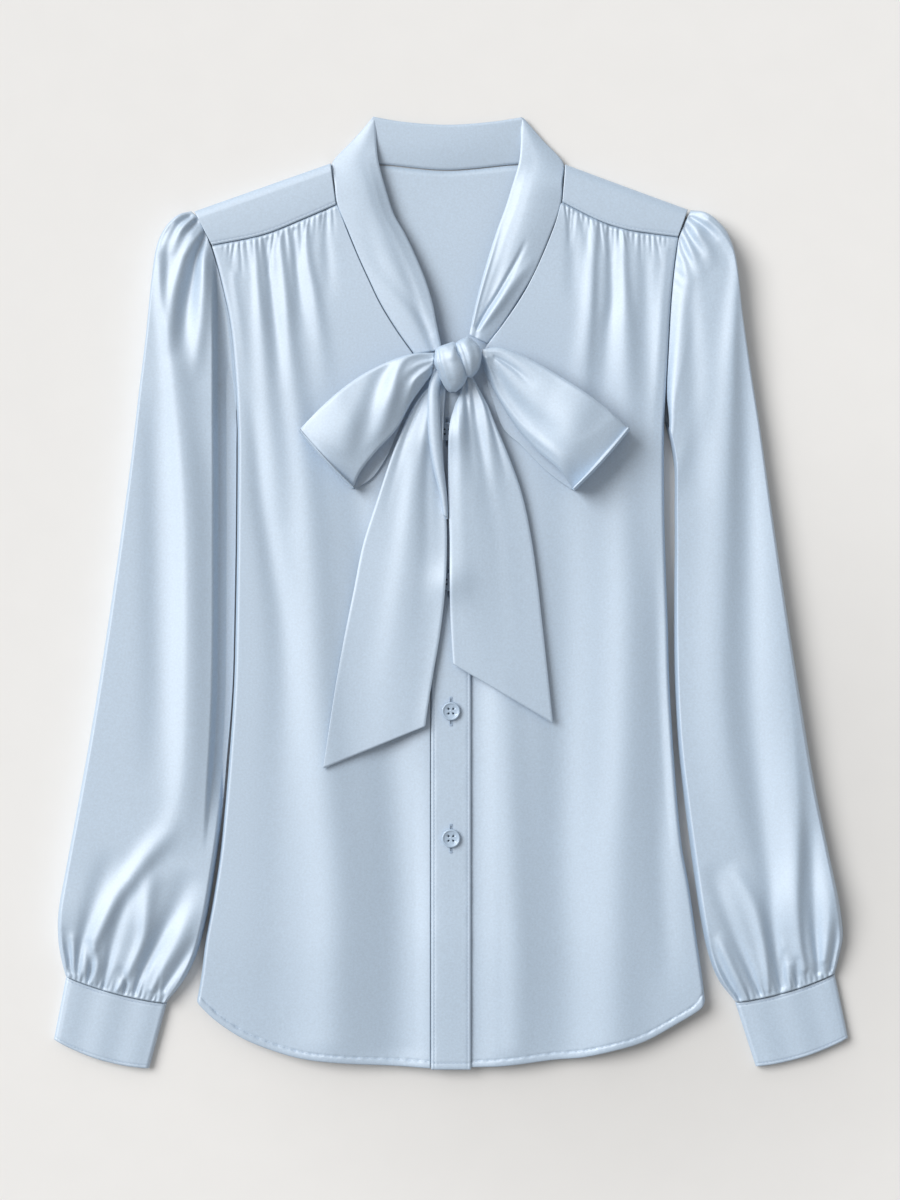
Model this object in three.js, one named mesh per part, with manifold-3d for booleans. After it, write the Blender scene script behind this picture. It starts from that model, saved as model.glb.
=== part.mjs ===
// A long-sleeved blouse with a neck bow, laid flat on its back, in millimetres.
// +Z is up off the surface, +Y points to the collar and +X to the wearer's left sleeve.
// The cloth is modelled as real walls: each cut piece is one closed body, and pieces that are
// sewn together stand a hair's breadth apart at their seam. "right" and "left" are the wearer's.
import * as THREE from 'three';
import { mergeVertices } from 'three/addons/utils/BufferGeometryUtils.js';
import Module from 'manifold-3d';

const wasm = await Module();
wasm.setup();

// Driving dimensions
const CLOTH = 1.2; // wall of single cloth
const DOUBLE = 1.9; // wall of folded cloth: bands, placket, cuffs, bow
const SEAM = 0.4; // space between two pieces at a seam
const TORSO_CROWN = 13; // top of the front above the floor
const HEM_CROWN = 10; // the same at the hem, where the front comes down to the back
const SIDE_ROLL = 15; // how far in from the side edge the front takes to rise
const SIDE_EDGE = 1.7; // height of the front's lower edge at the side seam, just over the back
const YOKE_TOP = 11.5; // top of the shoulder pieces
const YOKE_ROLL = 9; // plan width of the roll over the shoulder line
const YOKE_FLAP = 6; // how far the shoulder piece runs back under itself to the back
const PLACKET_HALF = 14.8; // half width of the button band
const PLACKET_RISE = 0.9; // how far the button band stands over the front
const BUTTON_RADIUS = 6.8;
const BUTTON_HEIGHT = 2.6;
const UNDERARM = 121.7; // level of the underarm point
const CUFF_TOP = 6.6; // thickness of a closed cuff lying flat
const FOLD_EDGE = 2.6; // height of the outermost point of a fold that rests on the floor

// Colours of the satin, one shade for all pieces and one for the buttons
const SATIN = { color: 0xbccfe2, roughness: 0.42, metalness: 0 };
const BUTTON = { color: 0xb4c8dd, roughness: 0.3, metalness: 0 };

// Small helpers
const { lerp, clamp, smoothstep } = THREE.MathUtils;
const quarterRound = (t) => Math.sqrt(1 - (1 - clamp(t, 0, 1)) ** 2);

/** A smooth curve in plan through rows of [x, y]. */
function planCurve(points) {
  const route = points.map(([x, y]) => new THREE.Vector3(x, y, 0));
  const curve = new THREE.CatmullRomCurve3(route, false, 'centripetal');
  curve.arcLengthDivisions = 400;
  return curve;
}

/** A point part of the way along a line in plan, moved towards the hand by a shallow bow. */
function bowedPoint([from, to], bow, w) {
  const down = new THREE.Vector2(to[1] - from[1], from[0] - to[0]).normalize();
  if (down.y > 0) down.negate();
  const sag = bow * 4 * w * (1 - w);
  return [lerp(from[0], to[0], w) + down.x * sag, lerp(from[1], to[1], w) + down.y * sag];
}

/** The x of a curve that runs steadily down in y, read at a level. */
function xAtLevel(curve) {
  const samples = curve.getPoints(200);
  return (y) => {
    const below = samples.findIndex((sample) => sample.y <= y);
    if (below < 0) return samples.at(-1).x;
    if (below === 0) return samples[0].x;
    const high = samples[below - 1];
    const low = samples[below];
    return lerp(high.x, low.x, (high.y - y) / (high.y - low.y || 1));
  };
}

// Outlines in plan. Each curve runs from the collar end to the hem end.
const OUTLINE = {
  right: {
    armhole: [[-192.4, 283.1], [-186.5, 276.8], [-181.3, 266], [-177.6, 257.1], [-174.6, 248.3],
      [-169.5, 228.3], [-163.5, 199.4], [-159.6, 157.2], [-158.6, UNDERARM]],
    side: [[-158.6, UNDERARM], [-158.8, 54.4], [-159.8, -15.9], [-161.6, -77.3], [-170.2, -183.2],
      [-176.1, -224.6], [-182, -256.4], [-185.4, -283.1], [-188.7, -303]],
    shoulder: [[-190.9, 282.6], [-139.9, 300.6], [-88.8, 318.6]],
    yokeSeam: [[-177.6, 257.1], [-138.4, 265.3], [-110.3, 276.4], [-84.8, 287.5]],
    neckline: [[-84.8, 287.5], [-77, 268.2], [-69.1, 249], [-61, 231.2], [-52.5, 213.5],
      [-40.7, 194.2], [-27.4, 175.4], [-PLACKET_HALF, 160]],
    hem: [[-188.7, -303], [-176.1, -315.6], [-155.4, -329.7], [-132.5, -339.3], [-110.3, -345.5],
      [-79.9, -348.8], [-49.6, -350.4], [-PLACKET_HALF, -352.6]],
  },
  left: {
    armhole: [[177.5, 283.8], [171.3, 270.5], [168.6, 263.4], [165.8, 246], [162.8, 216.4],
      [160.6, 178], [159.2, 149.8], [158.4, UNDERARM]],
    side: [[158.4, UNDERARM], [158.4, 64], [159.8, 12.2], [161, -21.1], [162.8, -77.3],
      [170.9, -183.2], [176.9, -218.7], [182.4, -256.4], [187.2, -289], [188.7, -302.3]],
    shoulder: [[176.1, 284], [130.2, 300.8], [84.4, 317.8]],
    yokeSeam: [[168.6, 263.4], [148, 266], [129.5, 269], [111, 274.9], [82.1, 289.3]],
    neckline: [[82.1, 289.3], [77, 272.7], [65.9, 245.3], [59.9, 232.7], [53.3, 220.5],
      [39.2, 199.4], [27.4, 184], [PLACKET_HALF, 166]],
    hem: [[188.7, -302.3], [185.7, -307.5], [165.8, -320.4], [143.2, -332.6], [120.6, -339.3],
      [97.7, -344.5], [75.5, -346.4], [55.5, -348.9], [37.7, -351], [PLACKET_HALF, -352.6]],
  },
};

const outline = {};
for (const [side, curves] of Object.entries(OUTLINE)) {
  outline[side] = {};
  for (const [name, points] of Object.entries(curves)) outline[side][name] = planCurve(points);
  outline[side].edgeX = xAtLevel(planCurve([...curves.armhole, ...curves.side.slice(1)]));
}

// Folds. Each row is a soft ridge (+) or trough (-) that runs from one point to another in plan.
// half is its half width at the two ends, rise its height at the two ends, all in millimetres.
const FRONT_FOLDS = {
  right: [
    { from: [-151, 262], to: [-135, 93], half: [4, 9], rise: [1.6, 0.6] },
    { from: [-140.6, 264], to: [-131, 190], half: [3, 6], rise: [-2.4, -0.4] },
    { from: [-132, 267], to: [-120, 121], half: [4, 9], rise: [2, 0.5] },
    { from: [-118.4, 271], to: [-109, 188], half: [3, 6], rise: [-2.6, -0.4] },
    { from: [-111, 274], to: [-105, 215], half: [3, 7], rise: [1.6, 0.3] },
    { from: [-99.9, 279], to: [-95, 245], half: [3, 5], rise: [-1.6, -0.2] },
    { from: [-128, -170], to: [-132, -335], half: [22, 30], rise: [-0.6, -1.8] },
    { from: [-102, -190], to: [-121, -330], half: [16, 18], rise: [0.3, 1.5] },
    { from: [-72, -150], to: [-70, -345], half: [22, 30], rise: [-0.4, -1.6] },
    { from: [-40, -120], to: [-38, -345], half: [16, 22], rise: [0.3, 1] },
  ],
  left: [
    { from: [156, 256], to: [151, 178], half: [4, 8], rise: [1.5, 0.4] },
    { from: [138, 266], to: [136.9, 232], half: [3, 5], rise: [-1.4, -0.2] },
    { from: [131.7, 268], to: [136.5, 150], half: [3, 6], rise: [-2.4, -0.5] },
    { from: [124, 267], to: [122.5, 150], half: [4, 9], rise: [1.9, 0.5] },
    { from: [111.7, 274], to: [108, 178], half: [3, 6], rise: [-2.6, -0.4] },
    { from: [101.4, 272], to: [91, 164], half: [4, 9], rise: [2, 0.4] },
    { from: [94.7, 281], to: [92, 250], half: [3, 5], rise: [-1.4, -0.2] },
    { from: [27, -120], to: [25, -345], half: [16, 20], rise: [0.3, 1] },
    { from: [64, -150], to: [67, -345], half: [20, 28], rise: [-0.4, -1.7] },
    { from: [106, -190], to: [98, -335], half: [20, 24], rise: [0.3, 1.6] },
    { from: [132, -200], to: [130, -335], half: [14, 16], rise: [-0.3, -1] },
  ],
};

const SLEEVE_FOLDS = {
  right: [
    { from: [-183, 269], to: [-195, 212], half: [3, 6], rise: [-5, -1.5] },
    { from: [-185.5, 275], to: [-200, 258], half: [2.5, 5], rise: [-4, -1] },
    { from: [-184, 271], to: [-204, 232], half: [3, 6], rise: [2.5, 1.2] },
    { from: [-204, 271], to: [-209, 247], half: [4, 6], rise: [2.2, 0.8] },
    { from: [-181, 262], to: [-186, 215], half: [3, 6], rise: [2.4, 0.8] },
    { from: [-215, 216], to: [-200, -80], half: [13, 16], rise: [2, 2] },
    { from: [-281, -286], to: [-262, -236], half: [3, 8], rise: [-2, -1] },
    { from: [-277, -283], to: [-240, -205], half: [4, 10], rise: [2, 2.2] },
    { from: [-268, -291], to: [-254, -250], half: [3, 7], rise: [-2.6, -1.6] },
    { from: [-257, -294], to: [-231, -240], half: [3.5, 8], rise: [2, 1.8] },
    { from: [-247, -297], to: [-236, -262], half: [3, 6], rise: [-2.2, -1] },
    { from: [-235, -298], to: [-205, -230], half: [3.5, 9], rise: [-2.8, -3] },
    { from: [-226, -301], to: [-205, -262], half: [3, 6], rise: [1.6, 1.6] },
    { from: [-217, -303], to: [-206, -284], half: [3, 5], rise: [-2, -1.5] },
  ],
  left: [
    { from: [176, 274], to: [189, 264], half: [2.5, 5], rise: [-4, -1] },
    { from: [172, 268], to: [184, 250], half: [3, 6], rise: [-4.5, -1.5] },
    { from: [175, 270], to: [201, 250], half: [3, 6], rise: [2.2, 1.2] },
    { from: [169, 256], to: [182, 225], half: [3, 6], rise: [-3, -1] },
    { from: [184, 281], to: [209, 248], half: [3, 5], rise: [2, 1.6] },
    { from: [208, 240], to: [207, 80], half: [6, 9], rise: [1.6, 1] },
    { from: [218, -302], to: [205, -262], half: [3, 6], rise: [-2.2, -1.4] },
    { from: [224, -301], to: [213, -258], half: [3, 6], rise: [2, 1.6] },
    { from: [231, -300], to: [219, -240], half: [3, 7], rise: [-2.8, -2.2] },
    { from: [239, -297], to: [232, -256], half: [3, 6], rise: [2, 1.6] },
    { from: [246, -295], to: [230, -222], half: [3, 8], rise: [-2.8, -2.2] },
    { from: [254, -292], to: [246, -210], half: [4, 9], rise: [2, 2.4] },
    { from: [262, -290], to: [256, -258], half: [3, 5], rise: [-2, -1] },
    { from: [271, -287], to: [258, -212], half: [3, 8], rise: [-2.6, -2] },
    { from: [279, -284], to: [279, -250], half: [3, 6], rise: [-2.2, -1.2] },
  ],
};

/** Height that a table of folds adds at a point in plan. */
function foldHeight(folds, x, y) {
  let height = 0;
  for (const { from, to, half, rise } of folds) {
    const runX = to[0] - from[0];
    const runY = to[1] - from[1];
    const along = ((x - from[0]) * runX + (y - from[1]) * runY) / (runX ** 2 + runY ** 2);
    const t = clamp(along, 0, 1);
    const beside = Math.hypot(x - from[0] - runX * t, y - from[1] - runY * t) / lerp(...half, t);
    height += lerp(...rise, t) * Math.exp(-(beside ** 2));
  }
  return height;
}

/** Height of the armhole seam, which comes down to the back at the underarm. */
function armholeHeight(y) {
  return SIDE_EDGE + (YOKE_TOP - 0.8 - SIDE_EDGE) * quarterRound((y - UNDERARM) / 55);
}

/** Top of the front cloth at a point in plan. */
function frontTop(x, y) {
  const side = x < 0 ? 'right' : 'left';
  const inward = Math.abs(outline[side].edgeX(y)) - Math.abs(x);
  const crown = lerp(TORSO_CROWN, HEM_CROWN, smoothstep(-y, 250, 350));
  const shoulderFall = (TORSO_CROWN - YOKE_TOP) * smoothstep(y, 200, 270);
  const edge = y > UNDERARM ? armholeHeight(y) : SIDE_EDGE;
  const level = lerp(edge, crown - shoulderFall, quarterRound(inward / SIDE_ROLL));
  const clear = smoothstep(inward, 0, 12) * smoothstep(Math.abs(x), PLACKET_HALF, PLACKET_HALF + 14);
  return level + foldHeight(FRONT_FOLDS[side], x, y) * clear;
}

/** The level that whatever lies on the front clears: cloth or button band. */
const layTop = (x, y) => frontTop(x, y) + PLACKET_RISE + SEAM;

// Closed walls from grids

/** Outer-face normals of a grid; a ring grid closes on itself along each row. */
function gridNormals(grid, ring, facing) {
  const last = grid.length - 1;
  const count = grid[0].length;
  const normals = grid.map((row, i) => row.map((_, j) => {
    const before = ring ? (j - 1 + count) % count : Math.max(j - 1, 0);
    const after = ring ? (j + 1) % count : Math.min(j + 1, count - 1);
    const across = row[after].clone().sub(row[before]);
    const along = grid[Math.min(i + 1, last)][j].clone().sub(grid[Math.max(i - 1, 0)][j]);
    return across.cross(along).normalize();
  }));
  let vote = 0;
  grid.forEach((row, i) => {
    const centre = new THREE.Vector3();
    for (const point of row) centre.addScaledVector(point, 1 / count);
    row.forEach((point, j) => {
      const outwards = facing === 'up' ? new THREE.Vector3(0, 0, 1) : point.clone().sub(centre);
      vote += normals[i][j].dot(outwards);
    });
  });
  if (vote < 0) normals.forEach((row) => row.forEach((normal) => normal.negate()));
  return normals;
}

/** A closed body between a grid of outer points and the same grid moved in by the wall. */
function wallFromGrid(grid, wall, { ring = false, facing = 'up' } = {}) {
  const rows = grid.length;
  const count = grid[0].length;
  const normals = gridNormals(grid, ring, facing);
  const inner = grid.map((row, i) => row.map((point, j) => (
    point.clone().addScaledVector(normals[i][j], -wall))));
  const positions = [...grid.flat(), ...inner.flat()].flatMap((point) => point.toArray());
  return facingOut(positions, skinFaces(rows, count, ring));
}

/** Triangles of a closed skin over an outer grid and, after it, an inner grid of the same size. */
function skinFaces(rows, count, ring) {
  const faces = [];
  const quad = (a, b, c, d) => faces.push(a, b, c, a, c, d);
  const outerAt = (i, j) => i * count + (j % count);
  const innerAt = (i, j) => rows * count + outerAt(i, j);
  const spans = ring ? count : count - 1;
  for (let i = 0; i < rows - 1; i += 1) {
    for (let j = 0; j < spans; j += 1) {
      quad(outerAt(i, j), outerAt(i, j + 1), outerAt(i + 1, j + 1), outerAt(i + 1, j));
      quad(innerAt(i, j), innerAt(i + 1, j), innerAt(i + 1, j + 1), innerAt(i, j + 1));
    }
  }
  for (let j = 0; j < spans; j += 1) {
    quad(outerAt(0, j), innerAt(0, j), innerAt(0, j + 1), outerAt(0, j + 1));
    quad(outerAt(rows - 1, j), outerAt(rows - 1, j + 1), innerAt(rows - 1, j + 1), innerAt(rows - 1, j));
  }
  if (!ring) {
    for (let i = 0; i < rows - 1; i += 1) {
      quad(outerAt(i, 0), outerAt(i + 1, 0), innerAt(i + 1, 0), innerAt(i, 0));
      quad(outerAt(i, spans), innerAt(i, spans), innerAt(i + 1, spans), outerAt(i + 1, spans));
    }
  }
  return faces;
}

/** A geometry whose faces point out, whichever way the grid ran. */
function facingOut(positions, faces) {
  let volume = 0;
  const [a, b, c] = [new THREE.Vector3(), new THREE.Vector3(), new THREE.Vector3()];
  for (let i = 0; i < faces.length; i += 3) {
    a.fromArray(positions, faces[i] * 3);
    b.fromArray(positions, faces[i + 1] * 3);
    c.fromArray(positions, faces[i + 2] * 3);
    volume += a.dot(b.cross(c));
  }
  const indices = volume > 0 ? faces : [...faces].reverse();
  const geometry = new THREE.BufferGeometry();
  geometry.setAttribute('position', new THREE.Float32BufferAttribute(positions, 3));
  geometry.setIndex(indices);
  geometry.computeVertexNormals();
  return geometry;
}

/** A patch in plan between four curves: rows run from top to foot, columns from side to centre. */
function planPatch({ top, foot, side, centre }, downs, acrosses) {
  const corner = [top.getPointAt(0), top.getPointAt(1), foot.getPointAt(0), foot.getPointAt(1)];
  return downs.map((v) => acrosses.map((u) => {
    const point = side.getPointAt(v).multiplyScalar(1 - u).addScaledVector(centre.getPointAt(v), u);
    point.addScaledVector(top.getPointAt(u), 1 - v).addScaledVector(foot.getPointAt(u), v);
    point.addScaledVector(corner[0], -(1 - u) * (1 - v)).addScaledVector(corner[1], -u * (1 - v));
    point.addScaledVector(corner[2], -(1 - u) * v).addScaledVector(corner[3], -u * v);
    return point;
  }));
}

const steps = (count) => Array.from({ length: count + 1 }, (_, i) => i / count);
/** Steps that crowd towards the start. */
const crowdedSteps = (count, power) => steps(count).map((t) => t ** power);
/** Steps that crowd towards both ends, for a row that rolls over at each side. */
const endCrowdedSteps = (count) => steps(count).map((t) => (
  lerp(0.5 - 0.5 * Math.cos(Math.PI * t), t, 0.25)));

const blouse = new THREE.Group();
blouse.name = 'blouse';

function addPiece(name, geometry, finish = SATIN) {
  const piece = new THREE.Mesh(geometry, new THREE.MeshStandardMaterial({ ...finish }));
  piece.name = name;
  blouse.add(piece);
  return piece;
}

/** One curve through two tables that share their meeting point. */
const joined = (first, second) => planCurve([...first, ...second.slice(1)]);
const plain = (curve, count) => curve.getPoints(count).map(({ x, y }) => [x, y]);

// Back: one flat piece from just under the shoulder pieces to the hem
function addBack() {
  const shoulders = {
    right: [[-181, 268.8], [-139.9, 284], [-86, 300.5]],
    left: [[169.4, 267.2], [130.2, 284], [82, 300.5]],
  };
  const neckSeam = [[-80, 317.6], [-52.5, 317.6], [-3, 313.4], [48.8, 317.6], [76, 317.6]];
  const edges = {};
  for (const [side, { armhole, side: sideSeam }] of Object.entries(OUTLINE)) {
    edges[side] = plain(joined(armhole, sideSeam), 30).filter(([, y]) => y < 262);
  }
  const route = [
    ...edges.right,
    ...plain(outline.right.hem, 12).slice(1),
    ...plain(outline.left.hem, 12).reverse(),
    ...edges.left.reverse().slice(1),
    ...shoulders.left,
    ...plain(planCurve(neckSeam), 8).reverse(),
    ...shoulders.right.reverse(),
  ];
  const shape = new THREE.Shape(route.map(([x, y]) => new THREE.Vector2(x, y)));
  addPiece('back', new THREE.ExtrudeGeometry(shape, { depth: CLOTH, bevelEnabled: false }));
}

// Fronts: gathered onto the shoulder pieces, rolled down to the back along the side seams.
// The right front ends at the button band, and the left one goes on under it.
const FRONT_DOWN = crowdedSteps(15, 1.5);
const EDGE_COLUMNS = [0, 0.003, 0.011, 0.03, 0.06, 0.1];
const FRONT_ACROSS = [...EDGE_COLUMNS, ...steps(22).slice(1).map((t) => lerp(0.1, 1, t))];

function addFront(side) {
  const tables = OUTLINE[side];
  const belowSeam = ([x, y]) => [x, y - 2 * SEAM];
  const corner = tables.armhole.findIndex(([, y]) => y <= tables.yokeSeam[0][1]);
  const bandEdge = side === 'right' ? -PLACKET_HALF - SEAM : 1.5 - PLACKET_HALF;
  const neckEnd = side === 'right' ? [] : [[PLACKET_HALF, 166]];
  const patch = planPatch({
    top: planCurve(tables.yokeSeam.map(belowSeam)),
    foot: planCurve([...tables.hem.slice(0, -1), [bandEdge, -352.6]]),
    side: planCurve([belowSeam(tables.yokeSeam[0]), ...tables.armhole.slice(corner + 1),
      ...tables.side.slice(1)]),
    centre: planCurve([belowSeam(tables.neckline[0]), ...tables.neckline.slice(1, -1), ...neckEnd,
      [bandEdge, 157], [bandEdge, 150], [bandEdge, 60], [bandEdge, -352.6]]),
  }, FRONT_DOWN, FRONT_ACROSS);
  const letDown = DOUBLE - PLACKET_RISE + 2 * SEAM;
  const grid = patch.map((row) => row.map(({ x, y }) => {
    const fall = side === 'left' ? 1 - smoothstep(x, PLACKET_HALF + 4, PLACKET_HALF + 15) : 0;
    return new THREE.Vector3(x, y, frontTop(x, y) - letDown * fall);
  }));
  addPiece(`front_${side}`, wallFromGrid(grid, CLOTH));
}

// Button band: a folded strip down the right front's edge, lapped over the left front
function addPlacket() {
  const across = [-1, -0.94, -0.4, 0.4, 0.94, 1];
  const grid = steps(14).map((t) => across.map((u) => {
    const x = u * (PLACKET_HALF - SEAM / 2);
    const y = lerp(149, -353.4, t);
    const softened = Math.abs(u) === 1 ? 0.35 : 0;
    return new THREE.Vector3(x, y, frontTop(x, y) + PLACKET_RISE - softened);
  }));
  addPiece('placket', wallFromGrid(grid, DOUBLE));
}

// Buttons: a dished disc with a raised rim and four holes, lying on the band
const BUTTONS = [[-3, 118.8], [-1.6, 7.8], [0, -87.7], [0, -181.7]];
const BUTTON_HOLE = { radius: 0.8, fromCentre: 1.7, depth: 8, sides: 6 };

function addButtons() {
  const rim = BUTTON_RADIUS - 1.3;
  const profile = [[0, 0], [BUTTON_RADIUS - 0.5, 0], [BUTTON_RADIUS, 0.6], [BUTTON_RADIUS, 1.9],
    [BUTTON_RADIUS - 0.6, BUTTON_HEIGHT], [rim, BUTTON_HEIGHT - 0.2], [rim - 0.7, 1.7], [0, 1.6]];
  const disc = new THREE.LatheGeometry(profile.map(([r, h]) => new THREE.Vector2(r, h)), 18);
  disc.rotateX(Math.PI / 2);
  let solid = asSolid(disc);
  const { radius, fromCentre, depth, sides } = BUTTON_HOLE;
  for (const [dx, dy] of [[-1, -1], [1, -1], [1, 1], [-1, 1]]) {
    const hole = new THREE.CylinderGeometry(radius, radius, depth, sides);
    hole.rotateX(Math.PI / 2);
    hole.translate(dx * fromCentre, dy * fromCentre, 0);
    solid = solid.subtract(asSolid(hole));
  }
  const geometry = asGeometry(solid);
  BUTTONS.forEach(([x, y], index) => {
    const button = addPiece(`button_${index + 1}`, geometry, BUTTON);
    button.position.set(x, y, layTop(x, y) + 0.1);
  });
}

function asSolid(geometry) {
  const bare = geometry.clone();
  bare.deleteAttribute('normal');
  bare.deleteAttribute('uv');
  const merged = mergeVertices(bare, 1e-4);
  const solid = new wasm.Manifold(new wasm.Mesh({
    numProp: 3,
    vertProperties: new Float32Array(merged.attributes.position.array),
    triVerts: new Uint32Array(merged.index.array),
  }));
  return solid;
}

function asGeometry(solid) {
  const mesh = solid.getMesh();
  const geometry = new THREE.BufferGeometry();
  geometry.setAttribute('position', new THREE.BufferAttribute(mesh.vertProperties, 3));
  geometry.setIndex(new THREE.BufferAttribute(mesh.triVerts, 1));
  geometry.computeVertexNormals();
  return geometry;
}

// Shoulder pieces: from the gathered seam up and over the shoulder line, then under to the back
function addYoke(side) {
  const seam = outline[side].yokeSeam;
  const line = outline[side].shoulder;
  const down = [0, 0.3, 0.6, 0.85, 1];
  const turns = [60, 30, 0, -30, -60, -90];
  const radius = YOKE_TOP / 2;
  const ends = [0.009, 0.993];
  const grid = steps(16).map((t) => {
    const u = lerp(...ends, t);
    const front = seam.getPointAt(u);
    const edge = line.getPointAt(u);
    const outward = edge.clone().sub(front).normalize();
    const rollStart = edge.clone().addScaledVector(outward, -YOKE_ROLL);
    const row = down.map((v) => {
      const point = front.clone().lerp(rollStart, v);
      return new THREE.Vector3(point.x, point.y, YOKE_TOP + 0.5 * Math.sin(Math.PI * v * 0.8));
    });
    for (const turn of turns) {
      const angle = THREE.MathUtils.degToRad(turn);
      const point = rollStart.clone().addScaledVector(outward, YOKE_ROLL * Math.cos(angle));
      row.push(new THREE.Vector3(point.x, point.y, radius + radius * Math.sin(angle)));
    }
    const flap = rollStart.clone().addScaledVector(outward, -YOKE_FLAP);
    row.push(new THREE.Vector3(flap.x, flap.y, 0));
    return row;
  });
  addPiece(`yoke_${side}`, wallFromGrid(grid, CLOTH, { facing: 'centre' }));
}

// Collar: a folded band. Behind the neck it lies flat; at each side it folds over and comes
// down the neckline to the knot, with a long ridge and a trough where the fold opens.
function addCollarBack() {
  const top = planCurve([[-57.7, 353.4], [-37.7, 349.9], [-3, 347.4], [32.6, 349.9], [52.5, 353]]);
  const foot = planCurve([[-86.5, 318.8], [-52.5, 318.4], [-3, 314.2], [48.8, 318.4], [82, 319.2]]);
  const grid = [0, 0.12, 0.5, 0.88, 1].map((v) => steps(12).map((u) => {
    const point = foot.getPointAt(u).lerp(top.getPointAt(u), v);
    const swell = 0.9 * Math.sin(Math.PI * u) * Math.sin(Math.PI * v);
    return new THREE.Vector3(point.x, point.y, DOUBLE + swell - (v === 0 || v === 1 ? 0.3 : 0));
  }));
  addPiece('collar_back', flatUnder(grid));
}

/** A closed body between a grid and the floor under it. */
function flatUnder(grid) {
  const rows = grid.length;
  const count = grid[0].length;
  const foot = grid.map((row) => row.map(({ x, y }) => new THREE.Vector3(x, y, 0)));
  const positions = [...grid.flat(), ...foot.flat()].flatMap((point) => point.toArray());
  return facingOut(positions, skinFaces(rows, count, false));
}

// Rows down each front band: outer edge, inner edge, and the height of the outer edge, of the
// ridge and of the inner edge; trough is how deep the fold opens between ridge and inner edge
const COLLAR_ROWS = {
  right: [
    { outer: [-57.8, 352.4], inner: [-55.6, 352.8], edge: 4.4, ridge: 4.8, lip: 4.6, trough: 0 },
    { outer: [-73.3, 335.6], inner: [-55.5, 334.9], edge: 4.4, ridge: 9, lip: 7, trough: 0 },
    { outer: [-88.3, 318.2], inner: [-53.6, 318.6], edge: 5.5, ridge: 12.5, lip: 8.5, trough: 0.5 },
    { outer: [-86.2, 303], inner: [-48.1, 297.9], edge: 10.8, ridge: 15, lip: 9.5, trough: 1 },
    { outer: [-84.2, 287.5], inner: [-42.2, 280], edge: 11.4, ridge: 16.5, lip: 10, trough: 1 },
    { outer: [-76.4, 268.2], inner: [-34.4, 266.3], edge: 12, ridge: 17, lip: 10.5, trough: 1.5 },
    { outer: [-68.5, 249], inner: [-25.9, 248.3], edge: 12.4, ridge: 17.5, lip: 11.5, trough: 2.5 },
    { outer: [-60.4, 231.2], inner: [-18.9, 231.2], edge: 12.6, ridge: 18.5, lip: 12.5, trough: 4 },
    { outer: [-51.9, 213.5], inner: [-13.7, 214.2], edge: 12.6, ridge: 18.5, lip: 13, trough: 4.5 },
    { outer: [-40.1, 194.2], inner: [-10.2, 196.5], edge: 12.6, ridge: 17.5, lip: 13.5, trough: 4 },
    { outer: [-26.8, 175.8], inner: [-6.5, 179.4], edge: 12.8, ridge: 16, lip: 14, trough: 2.5 },
  ],
  left: [
    { outer: [54, 352.4], inner: [51.8, 352.8], edge: 4.4, ridge: 4.8, lip: 4.6, trough: 0 },
    { outer: [68.6, 335.6], inner: [51.8, 334.9], edge: 4.4, ridge: 9, lip: 7, trough: 0 },
    { outer: [83.2, 319.2], inner: [50.3, 318.6], edge: 5.5, ridge: 12.5, lip: 8.5, trough: 0.5 },
    { outer: [82.6, 303.8], inner: [45.1, 300.8], edge: 10.8, ridge: 15, lip: 9.5, trough: 1 },
    { outer: [81.6, 289.3], inner: [40, 284.5], edge: 11.4, ridge: 16.5, lip: 10, trough: 1 },
    { outer: [76.4, 272.7], inner: [34, 268.2], edge: 12, ridge: 17, lip: 10.5, trough: 1.5 },
    { outer: [65.3, 245.3], inner: [28.5, 251.2], edge: 12.4, ridge: 17.5, lip: 11.5, trough: 2 },
    { outer: [59.3, 232.7], inner: [24.4, 237.2], edge: 12.6, ridge: 18, lip: 12.5, trough: 3.5 },
    { outer: [51.9, 220], inner: [20.7, 223.8], edge: 12.6, ridge: 18.5, lip: 13, trough: 4 },
    { outer: [38.6, 199.4], inner: [16.3, 205.3], edge: 12.6, ridge: 17.5, lip: 13.5, trough: 3.5 },
    { outer: [26.8, 183.6], inner: [13.6, 190.3], edge: 12.8, ridge: 16, lip: 14, trough: 2 },
  ],
};

function addCollarFront(side) {
  const across = [0, 0.03, 0.12, 0.26, 0.42, 0.58, 0.72, 0.86, 0.96, 1];
  const grid = COLLAR_ROWS[side].map(({ outer, inner, edge, ridge, lip, trough }) => (
    across.map((u) => {
      const rise = edge + (ridge - edge) * quarterRound(u / 0.4);
      const fall = lerp(0, ridge - lip, smoothstep(u, 0.55, 1) * 0.7 + 0.3 * Math.max(0, u - 0.8) / 0.2);
      const dip = trough * Math.exp(-(((u - 0.7) / 0.13) ** 2));
      return new THREE.Vector3(lerp(outer[0], inner[0], u), lerp(outer[1], inner[1], u), rise - fall - dip);
    })));
  addPiece(`collar_${side}`, wallFromGrid(grid, DOUBLE));
}

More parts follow.
